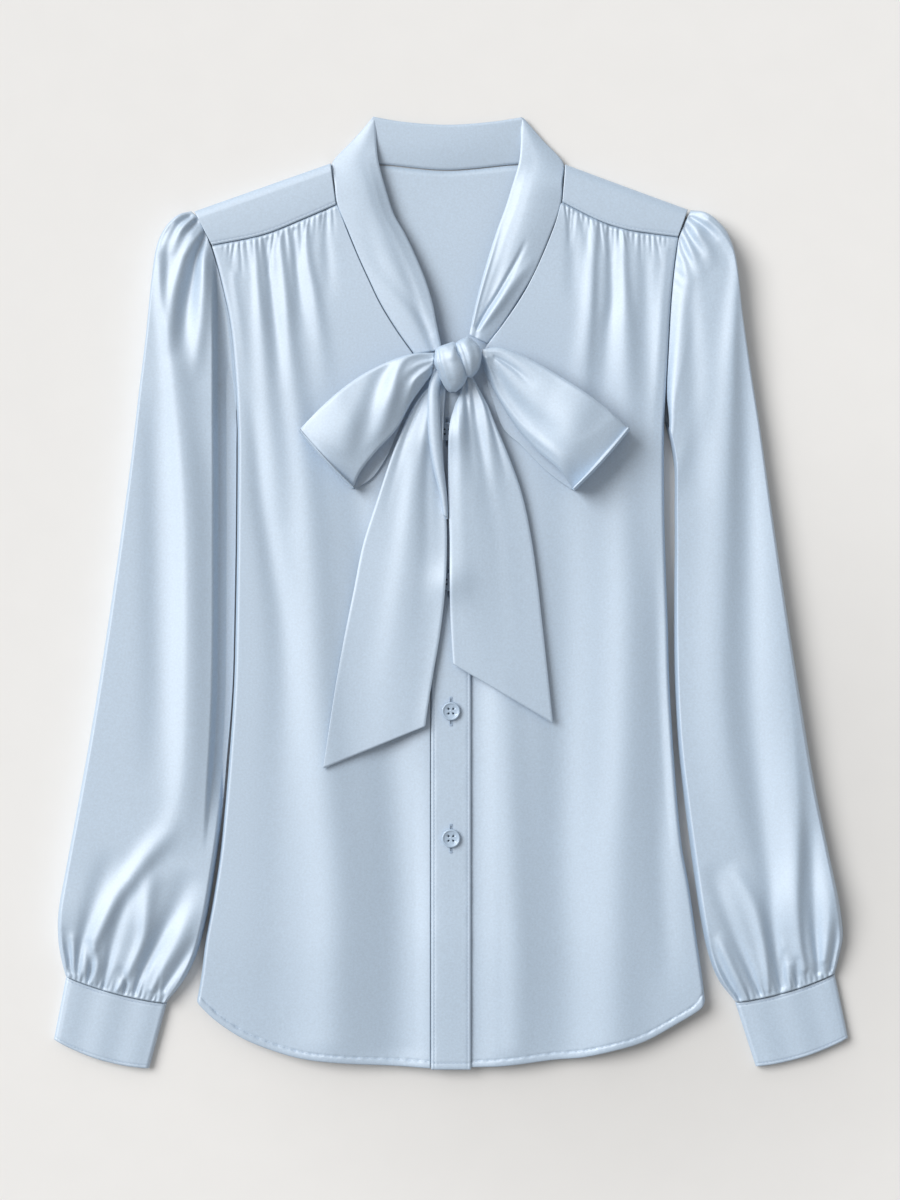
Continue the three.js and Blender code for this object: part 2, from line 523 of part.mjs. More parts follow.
// Sleeves: a gathered head, a full arm and gathers into the cuff. Rows of sections from the
// armhole to the cuff seam: the ends of each section in plan, its crown height, how much of the
// armhole's curve it follows, the width of its roll at each end, and how far it bows towards the
// hand.
const SLEEVE_ROWS = {
  right: [
    { outer: [-192.9, 283.3], inner: [-159.4, 121.3], crown: 12, curve: 1, roll: [9, 8] },
    { outer: [-202, 280.8], inner: [-159.4, 118.5], crown: 19, curve: 0.93, roll: [12, 8] },
    { outer: [-211.6, 271.9], inner: [-159.4, 115], crown: 24, curve: 0.8, roll: [15, 8] },
    { outer: [-218.6, 257], inner: [-159.4, 110.6], crown: 26, curve: 0.63, roll: [18, 8] },
    { outer: [-222.5, 231.2], inner: [-159.4, 104], crown: 26, curve: 0.42, roll: [20, 8] },
    { outer: [-226.6, 190.6], inner: [-159.4, 90.7], crown: 24, curve: 0.22, roll: [20, 8] },
    { outer: [-231.8, 148.4], inner: [-159.5, 68.5], crown: 22, curve: 0.1, roll: [20, 8] },
    { outer: [-237.8, 96.6], inner: [-159.8, 35.1], crown: 21, curve: 0, roll: [20, 8] },
    { outer: [-246.6, 31.4], inner: [-160.6, -12.9], crown: 20, curve: 0, roll: [20, 8] },
    { outer: [-256.9, -38.9], inner: [-162.2, -72.2], crown: 20, curve: 0, roll: [20, 9] },
    { outer: [-267.2, -103], inner: [-166.6, -126], crown: 20, curve: 0, roll: [20, 12] },
    { outer: [-277.4, -160], inner: [-171.2, -176], crown: 20, curve: 0, roll: [20, 16] },
    { outer: [-286, -206], inner: [-176.4, -213], crown: 20, curve: 0, roll: [20, 18] },
    { outer: [-291.3, -236], inner: [-181.6, -243], crown: 19, curve: 0, roll: [19, 18] },
    { outer: [-291.6, -257], inner: [-189, -269], crown: 16.5, curve: 0, roll: [17, 17], sag: 1 },
    { outer: [-289.3, -272], inner: [-198.6, -288], crown: 13, curve: 0, roll: [13, 13], sag: 2 },
    { outer: [-286, -284.5], inner: [-211.3, -304.5], crown: 8.6, curve: 0, roll: [6, 6], sag: 2.8 },
  ],
  left: [
    { outer: [178, 284], inner: [159.2, 121.3], crown: 12, curve: 1, roll: [9, 8] },
    { outer: [188.3, 282.7], inner: [159.6, 118], crown: 19, curve: 0.93, roll: [12, 8] },
    { outer: [198.3, 275.8], inner: [160.4, 113.6], crown: 24, curve: 0.8, roll: [15, 9] },
    { outer: [206.5, 264.6], inner: [161.5, 108], crown: 26, curve: 0.63, roll: [18, 10] },
    { outer: [212, 244.6], inner: [162.9, 100.3], crown: 26, curve: 0.42, roll: [20, 11] },
    { outer: [216.6, 206], inner: [164.6, 87], crown: 24, curve: 0.22, roll: [20, 12] },
    { outer: [223, 163], inner: [165.8, 66.2], crown: 22, curve: 0.1, roll: [20, 14] },
    { outer: [230.1, 118], inner: [166, 35.1], crown: 21, curve: 0, roll: [20, 15] },
    { outer: [238.3, 60], inner: [165.6, -5.5], crown: 20, curve: 0, roll: [20, 15] },
    { outer: [247.9, -5.5], inner: [165.9, -57.4], crown: 20, curve: 0, roll: [20, 15] },
    { outer: [258.3, -72.2], inner: [168.4, -109.2], crown: 20, curve: 0, roll: [20, 15] },
    { outer: [269.2, -138.8], inner: [173.6, -158], crown: 20, curve: 0, roll: [20, 16] },
    { outer: [279.8, -190], inner: [179.4, -202], crown: 20, curve: 0, roll: [20, 18] },
    { outer: [287.4, -226], inner: [184.6, -238], crown: 19, curve: 0, roll: [19, 18] },
    { outer: [291, -252], inner: [190.4, -266], crown: 16.5, curve: 0, roll: [17, 17], sag: 1 },
    { outer: [288.6, -268], inner: [198.4, -287], crown: 13, curve: 0, roll: [13, 13], sag: 2.2 },
    { outer: [285, -282.3], inner: [211.2, -303.8], crown: 8.6, curve: 0, roll: [6, 6], sag: 3.2 },
  ],
};
const SLEEVE_SEAM_RISE = 16; // how far from the armhole seam the head takes to puff up

// Beside the body the right sleeve is pressed into a low panel, as far as a long upright crease.
// The crease runs down through these points; the panel fades out between two levels.
const PANEL = {
  crease: [[-176.5, 262], [-176, 30], [-177, -80], [-181, -150], [-186, -215]],
  height: 7,
  slope: 6,
  fades: [-110, -190],
};

/** How far a point of the right sleeve is pressed down into the panel, from 0 to 1. */
function pressedShare(x, y) {
  const next = PANEL.crease.findIndex(([, level]) => level < y);
  if (next < 1) return 0;
  const [from, to] = [PANEL.crease[next - 1], PANEL.crease[next]];
  const crease = lerp(from[0], to[0], (y - from[1]) / (to[1] - from[1]));
  const fade = 1 - smoothstep(-y, -PANEL.fades[0], -PANEL.fades[1]);
  return smoothstep(x - crease, -1, PANEL.slope - 1) * fade;
}

/** Distance in plan from a point to the armhole seam of a side. */
function armholeReach(side) {
  const samples = outline[side].armhole.getPoints(60);
  return (x, y) => Math.min(...samples.map((sample) => Math.hypot(sample.x - x, sample.y - y)));
}

function addSleeve(side) {
  const armhole = outline[side].armhole;
  const start = SLEEVE_ROWS[side][0];
  const reach = armholeReach(side);
  const across = endCrowdedSteps(18);
  const under = [0.97, 0.75, 0.5, 0.25, 0.03];
  const grid = SLEEVE_ROWS[side].map(({ outer, inner, crown, curve, roll, sag = 0 }) => {
    const width = Math.hypot(outer[0] - inner[0], outer[1] - inner[1]);
    const plan = (w) => {
      const seam = armhole.getPointAt(w);
      const seamX = seam.x + (start.outer[0] - armhole.getPointAt(0).x);
      const swayX = curve * (seamX - lerp(start.outer[0], start.inner[0], w));
      const swayY = curve * (seam.y - lerp(start.outer[1], start.inner[1], w));
      const [x, y] = bowedPoint([outer, inner], sag, w);
      return [x + swayX, y + swayY];
    };
    const upper = across.map((w) => {
      const [x, y] = plan(w);
      const fromInner = (1 - w) * width;
      const rolls = quarterRound(w * width / roll[0]) * quarterRound(fromInner / roll[1]);
      const arm = crown * rolls;
      const low = Math.min(arm, PANEL.height * quarterRound(fromInner / roll[1]));
      const pressed = lerp(arm, low, side === 'right' ? pressedShare(x, y) : 0);
      const puffed = pressed + foldHeight(SLEEVE_FOLDS[side], x, y) * rolls;
      const seamHeight = armholeHeight(y) * quarterRound(w * width / YOKE_ROLL);
      const height = lerp(seamHeight, puffed, quarterRound(reach(x, y) / SLEEVE_SEAM_RISE));
      return new THREE.Vector3(x, y, Math.max(height, FOLD_EDGE));
    });
    const lower = under.map((w) => new THREE.Vector3(...plan(w), 0));
    return [...upper, ...lower];
  });
  addPiece(`sleeve_${side}`, wallFromGrid(grid, CLOTH, { ring: true, facing: 'centre' }));
}

// Cuffs: closed bands lying flat. Corners in plan and how far the seam and the edge bow out.
const CUFFS = {
  right: {
    seam: [[-285.8, -285.1], [-211.1, -305.1]],
    edge: [[-294.9, -331.6], [-224.2, -353.2]],
    bow: [2.8, 4.4],
  },
  left: {
    seam: [[284.9, -282.9], [211.1, -304.4]],
    edge: [[294.9, -330.4], [226.4, -351.8]],
    bow: [3.2, 3.6],
  },
};
const CUFF_ROLL = 3.4;

function addCuff(side) {
  const { seam, edge, bow } = CUFFS[side];
  const width = Math.hypot(seam[1][0] - seam[0][0], seam[1][1] - seam[0][1]);
  const folds = [180, 140, 105].map(THREE.MathUtils.degToRad);
  const roll = folds.map((angle) => ({
    w: (CUFF_ROLL * (1 + Math.cos(angle))) / width,
    z: CUFF_TOP / 2 * (1 + Math.sin(angle)),
  }));
  const middle = [0.2, 0.4, 0.6, 0.8].map((w) => ({ w, z: CUFF_TOP + 0.5 * Math.sin(Math.PI * w) }));
  const upper = [...roll, ...middle, ...roll.map(({ w, z }) => ({ w: 1 - w, z })).reverse()];
  const flat = [0.75, 0.5, 0.25].map((w) => ({ w, z: 0 }));
  const lower = [...roll.slice(1).map(({ w, z }) => ({ w: 1 - w, z: CUFF_TOP - z })), ...flat,
    ...roll.slice(1).map(({ w, z }) => ({ w, z: CUFF_TOP - z })).reverse()];
  const section = [...upper, ...lower.map(({ w, z }) => ({ w, z: z < 0.3 ? 0 : z }))];
  const grid = [0, 0.5, 1].map((t) => section.map(({ w, z }) => {
    const from = bowedPoint(seam, bow[0], w);
    const to = bowedPoint(edge, bow[1], w);
    return new THREE.Vector3(lerp(from[0], to[0], t), lerp(from[1], to[1], t), z);
  }));
  addPiece(`cuff_${side}`, wallFromGrid(grid, DOUBLE * 0.8, { ring: true, facing: 'centre' }));
}

// Bow. The knot is two wrapped lobes; centre, half sizes and turn about the upright axis.
const KNOT_LOBES = [
  { centre: [-0.5, 165.6, 30], half: [12, 18.6, 12.6], turn: 6 },
  { centre: [12.4, 171.8, 29.5], half: [9.8, 15.2, 11.8], turn: 14 },
];

function addKnot() {
  const lobes = KNOT_LOBES.map(({ centre, half, turn }) => {
    const lobe = new THREE.SphereGeometry(1, 16, 11);
    lobe.rotateX(Math.PI / 2);
    lobe.scale(...half);
    lobe.rotateZ(THREE.MathUtils.degToRad(turn));
    lobe.translate(...centre);
    return asSolid(lobe);
  });
  addPiece('bow_knot', asGeometry(lobes[0].add(lobes[1])));
}

// Each loop is a folded strip that leaves the knot, turns back at its far end and returns
// underneath. Rows give the two long edges of the upper layer, the lower edge of the layer
// under it, and the height of the upper layer. The last row is the turn.
const LOOP_BASE = 14; // underside of the loops, just over the front
const LOOP_TURN = 6; // half height of the turn at the far end
const LOOP_ROWS = {
  right: [
    { top: [-12.2, 176], lip: [-13.9, 160.8], backLip: [-13.9, 162], high: 32 },
    { top: [-28.1, 175], lip: [-28.9, 140.2], backLip: [-28, 141.5], high: 35 },
    { top: [-47.4, 168.7], lip: [-40, 120.2], backLip: [-39.2, 119.5], high: 34 },
    { top: [-70.3, 156.5], lip: [-54.8, 104], backLip: [-46.5, 102], high: 32 },
    { top: [-92.5, 138.8], lip: [-66.5, 89], backLip: [-58, 85], high: 29.5 },
    { top: [-112.5, 118.8], lip: [-72.5, 75.8], backLip: [-72.5, 75.8], high: 26 },
  ],
  left: [
    { top: [22.8, 178.7], lip: [23.4, 168], backLip: [23.4, 167], high: 31.5 },
    { top: [36.3, 180.2], lip: [32, 148], backLip: [30.5, 143.5], high: 35 },
    { top: [54, 173.2], lip: [46, 124.4], backLip: [38.5, 121.5], high: 34.5 },
    { top: [75, 161.2], lip: [60, 107.5], backLip: [51.5, 109], high: 32.5 },
    { top: [105, 141.4], lip: [79, 90.5], backLip: [71, 89.5], high: 29.5 },
    { top: [131.5, 119.5], lip: [91, 74.8], backLip: [91, 74.8], high: 26 },
  ],
};
const LOOP_FOLDS = {
  right: [
    { from: [-18, 172], to: [-44, 153], half: [4, 7], rise: [2, 2.4] },
    { from: [-44, 153], to: [-53, 120], half: [6, 7], rise: [0.8, 1.6] },
    { from: [-63, 153], to: [-73, 126], half: [7, 8], rise: [-2, -2.6] },
    { from: [-28, 164], to: [-19, 162], half: [3, 2.5], rise: [-3, -2] },
  ],
  left: [
    { from: [28, 176], to: [60, 152], half: [3, 8], rise: [2, 2.2] },
    { from: [27, 170], to: [46, 150], half: [2.5, 6], rise: [-2.6, -1.6] },
    { from: [70, 128], to: [92, 104], half: [7, 8], rise: [-2, -2.4] },
  ],
};

function addLoop(side) {
  const rows = LOOP_ROWS[side];
  const far = rows.at(-1);
  const before = rows.at(-2);
  const pair = (a, b, u) => new THREE.Vector2(lerp(a[0], b[0], u), lerp(a[1], b[1], u));
  const grid = [0, 0.06, 0.22, 0.42, 0.62, 0.8, 0.94, 1].map((u) => {
    const upper = rows.slice(0, -1).map(({ top, lip, high }) => {
      const { x, y } = pair(top, lip, u);
      const arch = 3.4 * Math.sin(Math.PI * u) - 1.6 * Math.cos(Math.PI * u) ** 2;
      return new THREE.Vector3(x, y, high + arch + foldHeight(LOOP_FOLDS[side], x, y));
    });
    const edge = pair(far.top, far.lip, u);
    const outward = edge.clone().sub(pair(before.top, before.lip, u)).normalize();
    const belly = 2.4 * Math.sin(Math.PI * u);
    const turn = [70, 30, -10, -50, -90].map((degrees) => {
      const angle = THREE.MathUtils.degToRad(degrees);
      const { x, y } = edge.clone().addScaledVector(outward, belly - LOOP_TURN * (1 - Math.cos(angle)));
      return new THREE.Vector3(x, y, LOOP_BASE + LOOP_TURN * (1 + Math.sin(angle)));
    });
    const lower = rows.slice(0, -1).reverse().map(({ top, lip, backLip }) => {
      const backTop = pair(top, lip, 0.1);
      const { x, y } = pair(backTop.toArray(), backLip, u);
      return new THREE.Vector3(x, y, LOOP_BASE);
    });
    return [...upper, ...turn, ...lower];
  });
  addPiece(`bow_loop_${side}`, wallFromGrid(grid, DOUBLE, { facing: 'centre' }));
}

// Tails: rows down each one, its two edges, its height over the front and its lengthwise fold
const TAIL_ROWS = {
  right: [
    { from: [-10.5, 157], to: [-3.4, 156.5], high: 19, fold: 0 },
    { from: [-20.6, 147], to: [-4.4, 146.5], high: 20.5, fold: 1.5 },
    { from: [-29.5, 133.6], to: [-5.4, 133.6], high: 22, fold: 3 },
    { from: [-37.5, 116], to: [-5.9, 115], high: 22.5, fold: 3.5 },
    { from: [-44.5, 98.5], to: [-5.6, 98], high: 21.5, fold: 3 },
    { from: [-55.3, 66], to: [-3.9, 67.7], high: 19.5, fold: 2.2 },
    { from: [-65.4, 34], to: [-3, 37.4], high: 18.4, fold: 1.6 },
    { from: [-72, 1], to: [-4.1, 4], high: 18, fold: 1.2 },
    { from: [-78.8, -33], to: [-7.6, -28], high: 17.6, fold: 1 },
    { from: [-84.6, -66], to: [-12.6, -58], high: 17.4, fold: 0.8 },
    { from: [-90, -101], to: [-16.4, -81], high: 17.3, fold: 0.6 },
    { from: [-94.3, -129.9], to: [-18.9, -98.8], high: 17.2, fold: 0.5 },
  ],
  left: [
    { from: [9.4, 160], to: [15.4, 160.4], high: 20.4, fold: 0 },
    { from: [6.6, 147], to: [22, 147.5], high: 20.8, fold: 1.5 },
    { from: [2.6, 137], to: [27.4, 137], high: 22, fold: 3 },
    { from: [-1.2, 122], to: [33, 123], high: 22.5, fold: 3.2 },
    { from: [-2.2, 98], to: [43.5, 98], high: 21.5, fold: 2.6 },
    { from: [-2, 70], to: [52.6, 72], high: 20, fold: 2 },
    { from: [-1, 40], to: [59, 42], high: 19, fold: 1.4 },
    { from: [-1, 12], to: [63.6, 11], high: 18.6, fold: 1 },
    { from: [-0.6, -14], to: [67.6, -24], high: 18, fold: 0.8 },
    { from: [0.4, -35], to: [71.6, -60], high: 17.6, fold: 0.6 },
    { from: [1.5, -52.9], to: [75.5, -96.6], high: 17.4, fold: 0.5 },
  ],
};
const BUTTON_BUMP = { height: 3, reach: 14 };

/** How far a tail is lifted where it lies over a button. */
function overButtons(x, y) {
  const near = Math.min(...BUTTONS.map(([bx, by]) => Math.hypot(bx - x, by - y)));
  return BUTTON_BUMP.height * Math.exp(-((near / BUTTON_BUMP.reach) ** 2));
}

function addTail(side) {
  const across = [0, 0.05, 0.2, 0.38, 0.55, 0.72, 0.86, 0.96, 1];
  const crest = side === 'right' ? 0.62 : 0.3;
  const grid = TAIL_ROWS[side].map(({ from, to, high, fold }) => across.map((u) => {
    const x = lerp(from[0], to[0], u);
    const y = lerp(from[1], to[1], u);
    const ridge = fold * Math.exp(-(((u - crest) / 0.2) ** 2));
    const trough = 0.5 * fold * Math.exp(-(((u - crest - 0.28) / 0.1) ** 2));
    const lift = y > 130 ? 0 : overButtons(x, y);
    const edge = -0.5 * Math.exp(-((Math.min(u, 1 - u) / 0.05) ** 2));
    return new THREE.Vector3(x, y, high + ridge - trough + lift + edge * Math.min(1, fold));
  }));
  addPiece(`bow_tail_${side}`, wallFromGrid(grid, DOUBLE));
}

addBack();
addPlacket();
addButtons();
addCollarBack();
addKnot();
for (const side of ['right', 'left']) {
  addFront(side);
  addYoke(side);
  addCollarFront(side);
  addSleeve(side);
  addCuff(side);
  addLoop(side);
  addTail(side);
}

export default blouse;
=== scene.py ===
"""Looks of a long-sleeved satin blouse with a neck bow, laid flat on its back.

Every cut piece is a fine cloth shell on the form of its solid: the same outlines and sections,
with the smaller folds, puckers, hems and stitches that cloth has. Sizes in the tables are in
millimetres. +Z is up off the surface, +Y points to the collar and +X to the wearer's left sleeve.
"""

import logging
import math
from dataclasses import dataclass
from enum import Enum
from typing import Sequence

import bmesh
import bpy
import numpy as np
from mathutils import Matrix, Vector


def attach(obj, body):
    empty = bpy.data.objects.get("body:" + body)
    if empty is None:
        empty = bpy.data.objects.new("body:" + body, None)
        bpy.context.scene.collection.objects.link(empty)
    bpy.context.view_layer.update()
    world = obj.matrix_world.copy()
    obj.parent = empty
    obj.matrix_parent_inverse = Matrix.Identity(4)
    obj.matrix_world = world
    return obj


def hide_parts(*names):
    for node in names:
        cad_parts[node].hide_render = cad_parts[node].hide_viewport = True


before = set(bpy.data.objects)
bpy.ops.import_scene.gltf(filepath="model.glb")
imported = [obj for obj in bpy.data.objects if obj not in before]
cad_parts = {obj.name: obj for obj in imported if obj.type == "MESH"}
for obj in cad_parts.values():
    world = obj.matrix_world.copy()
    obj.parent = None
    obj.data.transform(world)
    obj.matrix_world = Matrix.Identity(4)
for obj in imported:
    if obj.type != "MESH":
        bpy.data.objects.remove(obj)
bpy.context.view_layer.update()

log = logging.getLogger("blouse")

Array = np.ndarray
Point = tuple[float, float]
Pair = tuple[float, float]
Row = tuple[float, ...]

MM = 0.001
BODY = "root"

# Driving dimensions of the form, the same as the solids have
SEAM = 0.4
TORSO_CROWN = 13.0
HEM_CROWN = 10.0
SIDE_ROLL = 2.8
SIDE_EDGE = 1.7
YOKE_TOP = 11.5
YOKE_ROLL = 6.0
YOKE_FLAP = 6.0
PLACKET_HALF = 14.8
PLACKET_RISE = 0.9
PLACKET_TOP = 149.0
PLACKET_FOOT = -353.4
HEM_LEVEL = -352.6
UNDERARM = 121.7
FOLD_EDGE = 5.0

# Walls of the shells
SINGLE = 0.7
DOUBLE = 1.4

# Hem, and how far stitches stand from the edge of band and cuff
HEM_STITCH = 4.8
EDGE_DROP = 0.5
BAND_STITCH = 2.4
CUFF_STITCH = 2.2

# How far and how wide a tail is lifted where it lies over a button
BUTTON_LIFT = 3.0
BUTTON_REACH = 14.0


class Side(Enum):
    """The wearer's side that a piece belongs to."""

    RIGHT = "right"
    LEFT = "left"

    @property
    def sign(self) -> int:
        """-1 on the wearer's right and +1 on the left."""
        return -1 if self is Side.RIGHT else 1


class Slot(Enum):
    """Material slots of the record."""

    SATIN = "satin"
    BUTTON = "button"


class Held(Enum):
    """How a sheet of cloth is held."""

    LAID = "laid"
    FOLDED = "folded"
    GATHERED = "gathered"


def smoothstep(t: Array, low: float, high: float) -> Array:
    """Rises smoothly from 0 at low to 1 at high."""
    s = np.clip((np.asarray(t, float) - low) / (high - low), 0, 1)
    return s * s * (3 - 2 * s)


def quarter_round(t: Array) -> Array:
    """Rises from 0 to 1 along a quarter of a circle."""
    return np.sqrt(1 - (1 - np.clip(t, 0, 1)) ** 2)


def lerp(a: Array, b: Array, t: Array) -> Array:
    """Goes from a to b as t goes from 0 to 1."""
    return a + (b - a) * t


def bell(distance: Array, half: float) -> Array:
    """A soft bump that is 1 at no distance and small past twice its half width."""
    return np.exp(-((distance / half) ** 2))


def ends_crowded(count: int, evenness: float = 0.25) -> Array:
    """Steps from 0 to 1 that crowd towards both ends."""
    t = np.linspace(0, 1, count + 1)
    return lerp(0.5 - 0.5 * np.cos(np.pi * t), t, evenness)


def graded(*runs: tuple[float, float]) -> Array:
    """Steps from 0 to 1 through runs of (length, spacing), one after another."""
    stops = [0.0]
    for length, spacing in runs:
        start, count = stops[-1], max(1, round(length / spacing))
        stops.extend(start + length * (k + 1) / count for k in range(count))
    return np.array(stops) / stops[-1]


def smooth_rows(table: Array, count: int) -> Array:
    """Smooth rows through a table's rows, as many as count, evenly spread over its stations."""
    rows = np.asarray(table, float)
    padded = np.vstack([2 * rows[0] - rows[1], rows, 2 * rows[-1] - rows[-2]])
    station = np.linspace(0, len(rows) - 1, count)
    first = np.minimum(station.astype(int), len(rows) - 2)
    t = (station - first)[:, None]
    a, b, c, d = (padded[first + k] for k in range(4))
    curve = 2 * b + (c - a) * t + (2 * a - 5 * b + 4 * c - d) * t**2 + (3 * b - a - 3 * c + d) * t**3
    return curve / 2


class PlanCurve:
    """A smooth curve in plan through points, read by its share of length or by level."""

    def __init__(self, points: Sequence[Point], per_span: int = 40) -> None:
        """Samples a centripetal curve.

        Args:
            points: the points it goes through, in millimetres.
            per_span: samples between two points.
        """
        knots = np.asarray(points, float)
        ends = [2 * knots[0] - knots[1], 2 * knots[-1] - knots[-2]]
        route = np.vstack([ends[0], knots, ends[1]])
        spans = [self._span(route[k : k + 4], per_span) for k in range(len(knots) - 1)]
        self.samples = np.vstack([*spans, knots[-1]])
        steps = np.linalg.norm(np.diff(self.samples, axis=0), axis=1)
        self.lengths = np.concatenate([[0], np.cumsum(steps)])

    @staticmethod
    def _span(corners: Array, count: int) -> Array:
        """Samples one span of the curve between the middle two of four corners."""
        gaps = np.maximum(np.linalg.norm(np.diff(corners, axis=0), axis=1) ** 0.5, 1e-6)
        k = np.concatenate([[0], np.cumsum(gaps)])
        t = np.linspace(k[1], k[2], count, endpoint=False)[:, None]
        a, b, c, d = corners
        ab = (a * (k[1] - t) + b * (t - k[0])) / (k[1] - k[0])
        bc = (b * (k[2] - t) + c * (t - k[1])) / (k[2] - k[1])
        cd = (c * (k[3] - t) + d * (t - k[2])) / (k[3] - k[2])
        abc = (ab * (k[2] - t) + bc * (t - k[0])) / (k[2] - k[0])
        bcd = (bc * (k[3] - t) + cd * (t - k[1])) / (k[3] - k[1])
        return (abc * (k[2] - t) + bcd * (t - k[1])) / (k[2] - k[1])

    def at(self, share: Array) -> Array:
        """Points at shares of the curve's length."""
        along = np.asarray(share, float) * self.lengths[-1]
        return np.stack([np.interp(along, self.lengths, self.samples[:, k]) for k in (0, 1)], axis=-1)

    def x_at(self, y: Array) -> Array:
        """The x where the curve, which runs down in y, passes a level."""
        order = np.argsort(self.samples[:, 1])
        return np.interp(y, self.samples[order, 1], self.samples[order, 0])

    def reach(self, x: Array, y: Array) -> Array:
        """Distance in plan from points to the curve."""
        stops = self.samples[::10]
        run = np.diff(stops, axis=0)
        from_x, from_y = x[..., None] - stops[:-1, 0], y[..., None] - stops[:-1, 1]
        square = np.maximum((run**2).sum(axis=1), 1e-9)
        share = np.clip((from_x * run[:, 0] + from_y * run[:, 1]) / square, 0, 1)
        return np.hypot(from_x - share * run[:, 0], from_y - share * run[:, 1]).min(axis=-1)


@dataclass(frozen=True)
class Fold:
    """A soft ridge (+) or trough (-) along a given line in plan.

    Each row is x, y, half width and height at a point of the line. lean makes the flank on the
    right of a line that runs down steeper (+) or gentler (-), and crest says how round the top
    is: 2 is soft and 1.2 is sharp.
    """

    rows: tuple[Row, ...]
    lean: float = 0.0
    crest: float = 2.0

    def height(self, x: Array, y: Array) -> Array:
        """Height that the fold adds at points in plan."""
        line = smooth_rows(self.rows, 8 * len(self.rows))
        reach = 3.2 * line[:, 2].max()
        low, high = line[:, :2].min(axis=0) - reach, line[:, :2].max(axis=0) + reach
        near = (x > low[0]) & (x < high[0]) & (y > low[1]) & (y < high[1])
        height = np.zeros_like(x)
        if not near.any():
            return height
        start, run = line[:-1], np.diff(line[:, :2], axis=0)
        square = np.maximum((run**2).sum(axis=1), 1e-9)
        from_x, from_y = x[near][:, None] - start[:, 0], y[near][:, None] - start[:, 1]
        share = np.clip((from_x * run[:, 0] + from_y * run[:, 1]) / square, 0, 1)
        gap = np.hypot(from_x - share * run[:, 0], from_y - share * run[:, 1])
        closest = (np.arange(len(gap)), gap.argmin(axis=1))
        span, t = closest[1], share[closest]
        side = np.sign(from_y[closest] * run[span, 0] - from_x[closest] * run[span, 1])
        half = lerp(line[span, 2], line[span + 1, 2], t) * (1 - self.lean * side)
        rise = lerp(line[span, 3], line[span + 1, 3], t)
        height[near] = rise * np.exp(-((gap[closest] / half) ** self.crest))
        return height


def fold_height(folds: Sequence[Fold], x: Array, y: Array) -> Array:
    """Height that a table of folds adds at points in plan."""
    return sum((fold.height(x, y) for fold in folds), np.zeros_like(x))


def puckers(
    curve: PlanCurve, down: Point, count: int, seed: int, length: Pair, rise: float
) -> list[Fold]:
    """Small uneven gathers along a seam.

    Args:
        curve: the seam in plan.
        down: direction that they run in, away from the seam.
        count: how many there are.
        seed: seed of their unevenness.
        length: shortest and longest.
        rise: greatest height.

    Returns:
        A fold for each, ridges and troughs by turns.
    """
    rng = np.random.default_rng(seed)
    folds = []
    for k in range(count):
        share = (k + 0.5 + rng.uniform(-0.3, 0.3)) / count
        x, y = curve.at(share)
        long = rng.uniform(*length)
        lean = rng.uniform(-0.16, 0.16)
        end = (x + (down[0] + lean) * long, y + down[1] * long)
        height = rise * rng.uniform(0.4, 1) * (0.5 if k % 2 else -1)
        wide = rng.uniform(0.7, 1.3)
        folds.append(Fold(((x, y, wide, height), (*end, wide * 2.2, height * 0.12)), crest=1.7))
    return folds


# Outlines in plan. Each curve runs from the collar end to the hem end.
OUTLINE = {
    Side.RIGHT: {
        "armhole": [(-192.4, 283.1), (-186.5, 276.8), (-181.3, 266), (-177.6, 257.1), (-174.6, 248.3),
                    (-169.5, 228.3), (-163.5, 199.4), (-159.6, 157.2), (-158.6, UNDERARM)],
        "side": [(-158.6, UNDERARM), (-158.8, 54.4), (-159.8, -15.9), (-161.6, -77.3), (-170.2, -183.2),
                 (-176.1, -224.6), (-182, -256.4), (-185.4, -283.1), (-188.7, -303)],
        "shoulder": [(-190.9, 282.6), (-139.9, 300.6), (-88.8, 318.6)],
        "yoke_seam": [(-177.6, 257.1), (-138.4, 265.3), (-110.3, 276.4), (-84.8, 287.5)],
        "neckline": [(-84.8, 287.5), (-77, 268.2), (-69.1, 249), (-61, 231.2), (-52.5, 213.5),
                     (-40.7, 194.2), (-27.4, 175.4), (-PLACKET_HALF, 160)],
        "hem": [(-188.7, -303), (-176.1, -315.6), (-155.4, -329.7), (-132.5, -339.3), (-110.3, -345.5),
                (-79.9, -348.8), (-49.6, -350.4), (-PLACKET_HALF, HEM_LEVEL)],
    },
    Side.LEFT: {
        "armhole": [(177.5, 283.8), (171.3, 270.5), (168.6, 263.4), (165.8, 246), (162.8, 216.4),
                    (160.6, 178), (159.2, 149.8), (158.4, UNDERARM)],
        "side": [(158.4, UNDERARM), (158.4, 64), (159.8, 12.2), (161, -21.1), (162.8, -77.3),
                 (170.9, -183.2), (176.9, -218.7), (182.4, -256.4), (187.2, -289), (188.7, -302.3)],
        "shoulder": [(176.1, 284), (130.2, 300.8), (84.4, 317.8)],
        "yoke_seam": [(168.6, 263.4), (148, 266), (129.5, 269), (111, 274.9), (82.1, 289.3)],
        "neckline": [(82.1, 289.3), (77, 272.7), (65.9, 245.3), (59.9, 232.7), (53.3, 220.5),
                     (39.2, 199.4), (27.4, 184), (PLACKET_HALF, 166)],
        "hem": [(188.7, -302.3), (185.7, -307.5), (165.8, -320.4), (143.2, -332.6), (120.6, -339.3),
                (97.7, -344.5), (75.5, -346.4), (55.5, -348.9), (37.7, -351), (PLACKET_HALF, HEM_LEVEL)],
    },
}
CURVES = {
    side: {name: PlanCurve(points) for name, points in rows.items()} for side, rows in OUTLINE.items()
}
EDGES = {side: PlanCurve([*rows["armhole"], *rows["side"][1:]]) for side, rows in OUTLINE.items()}
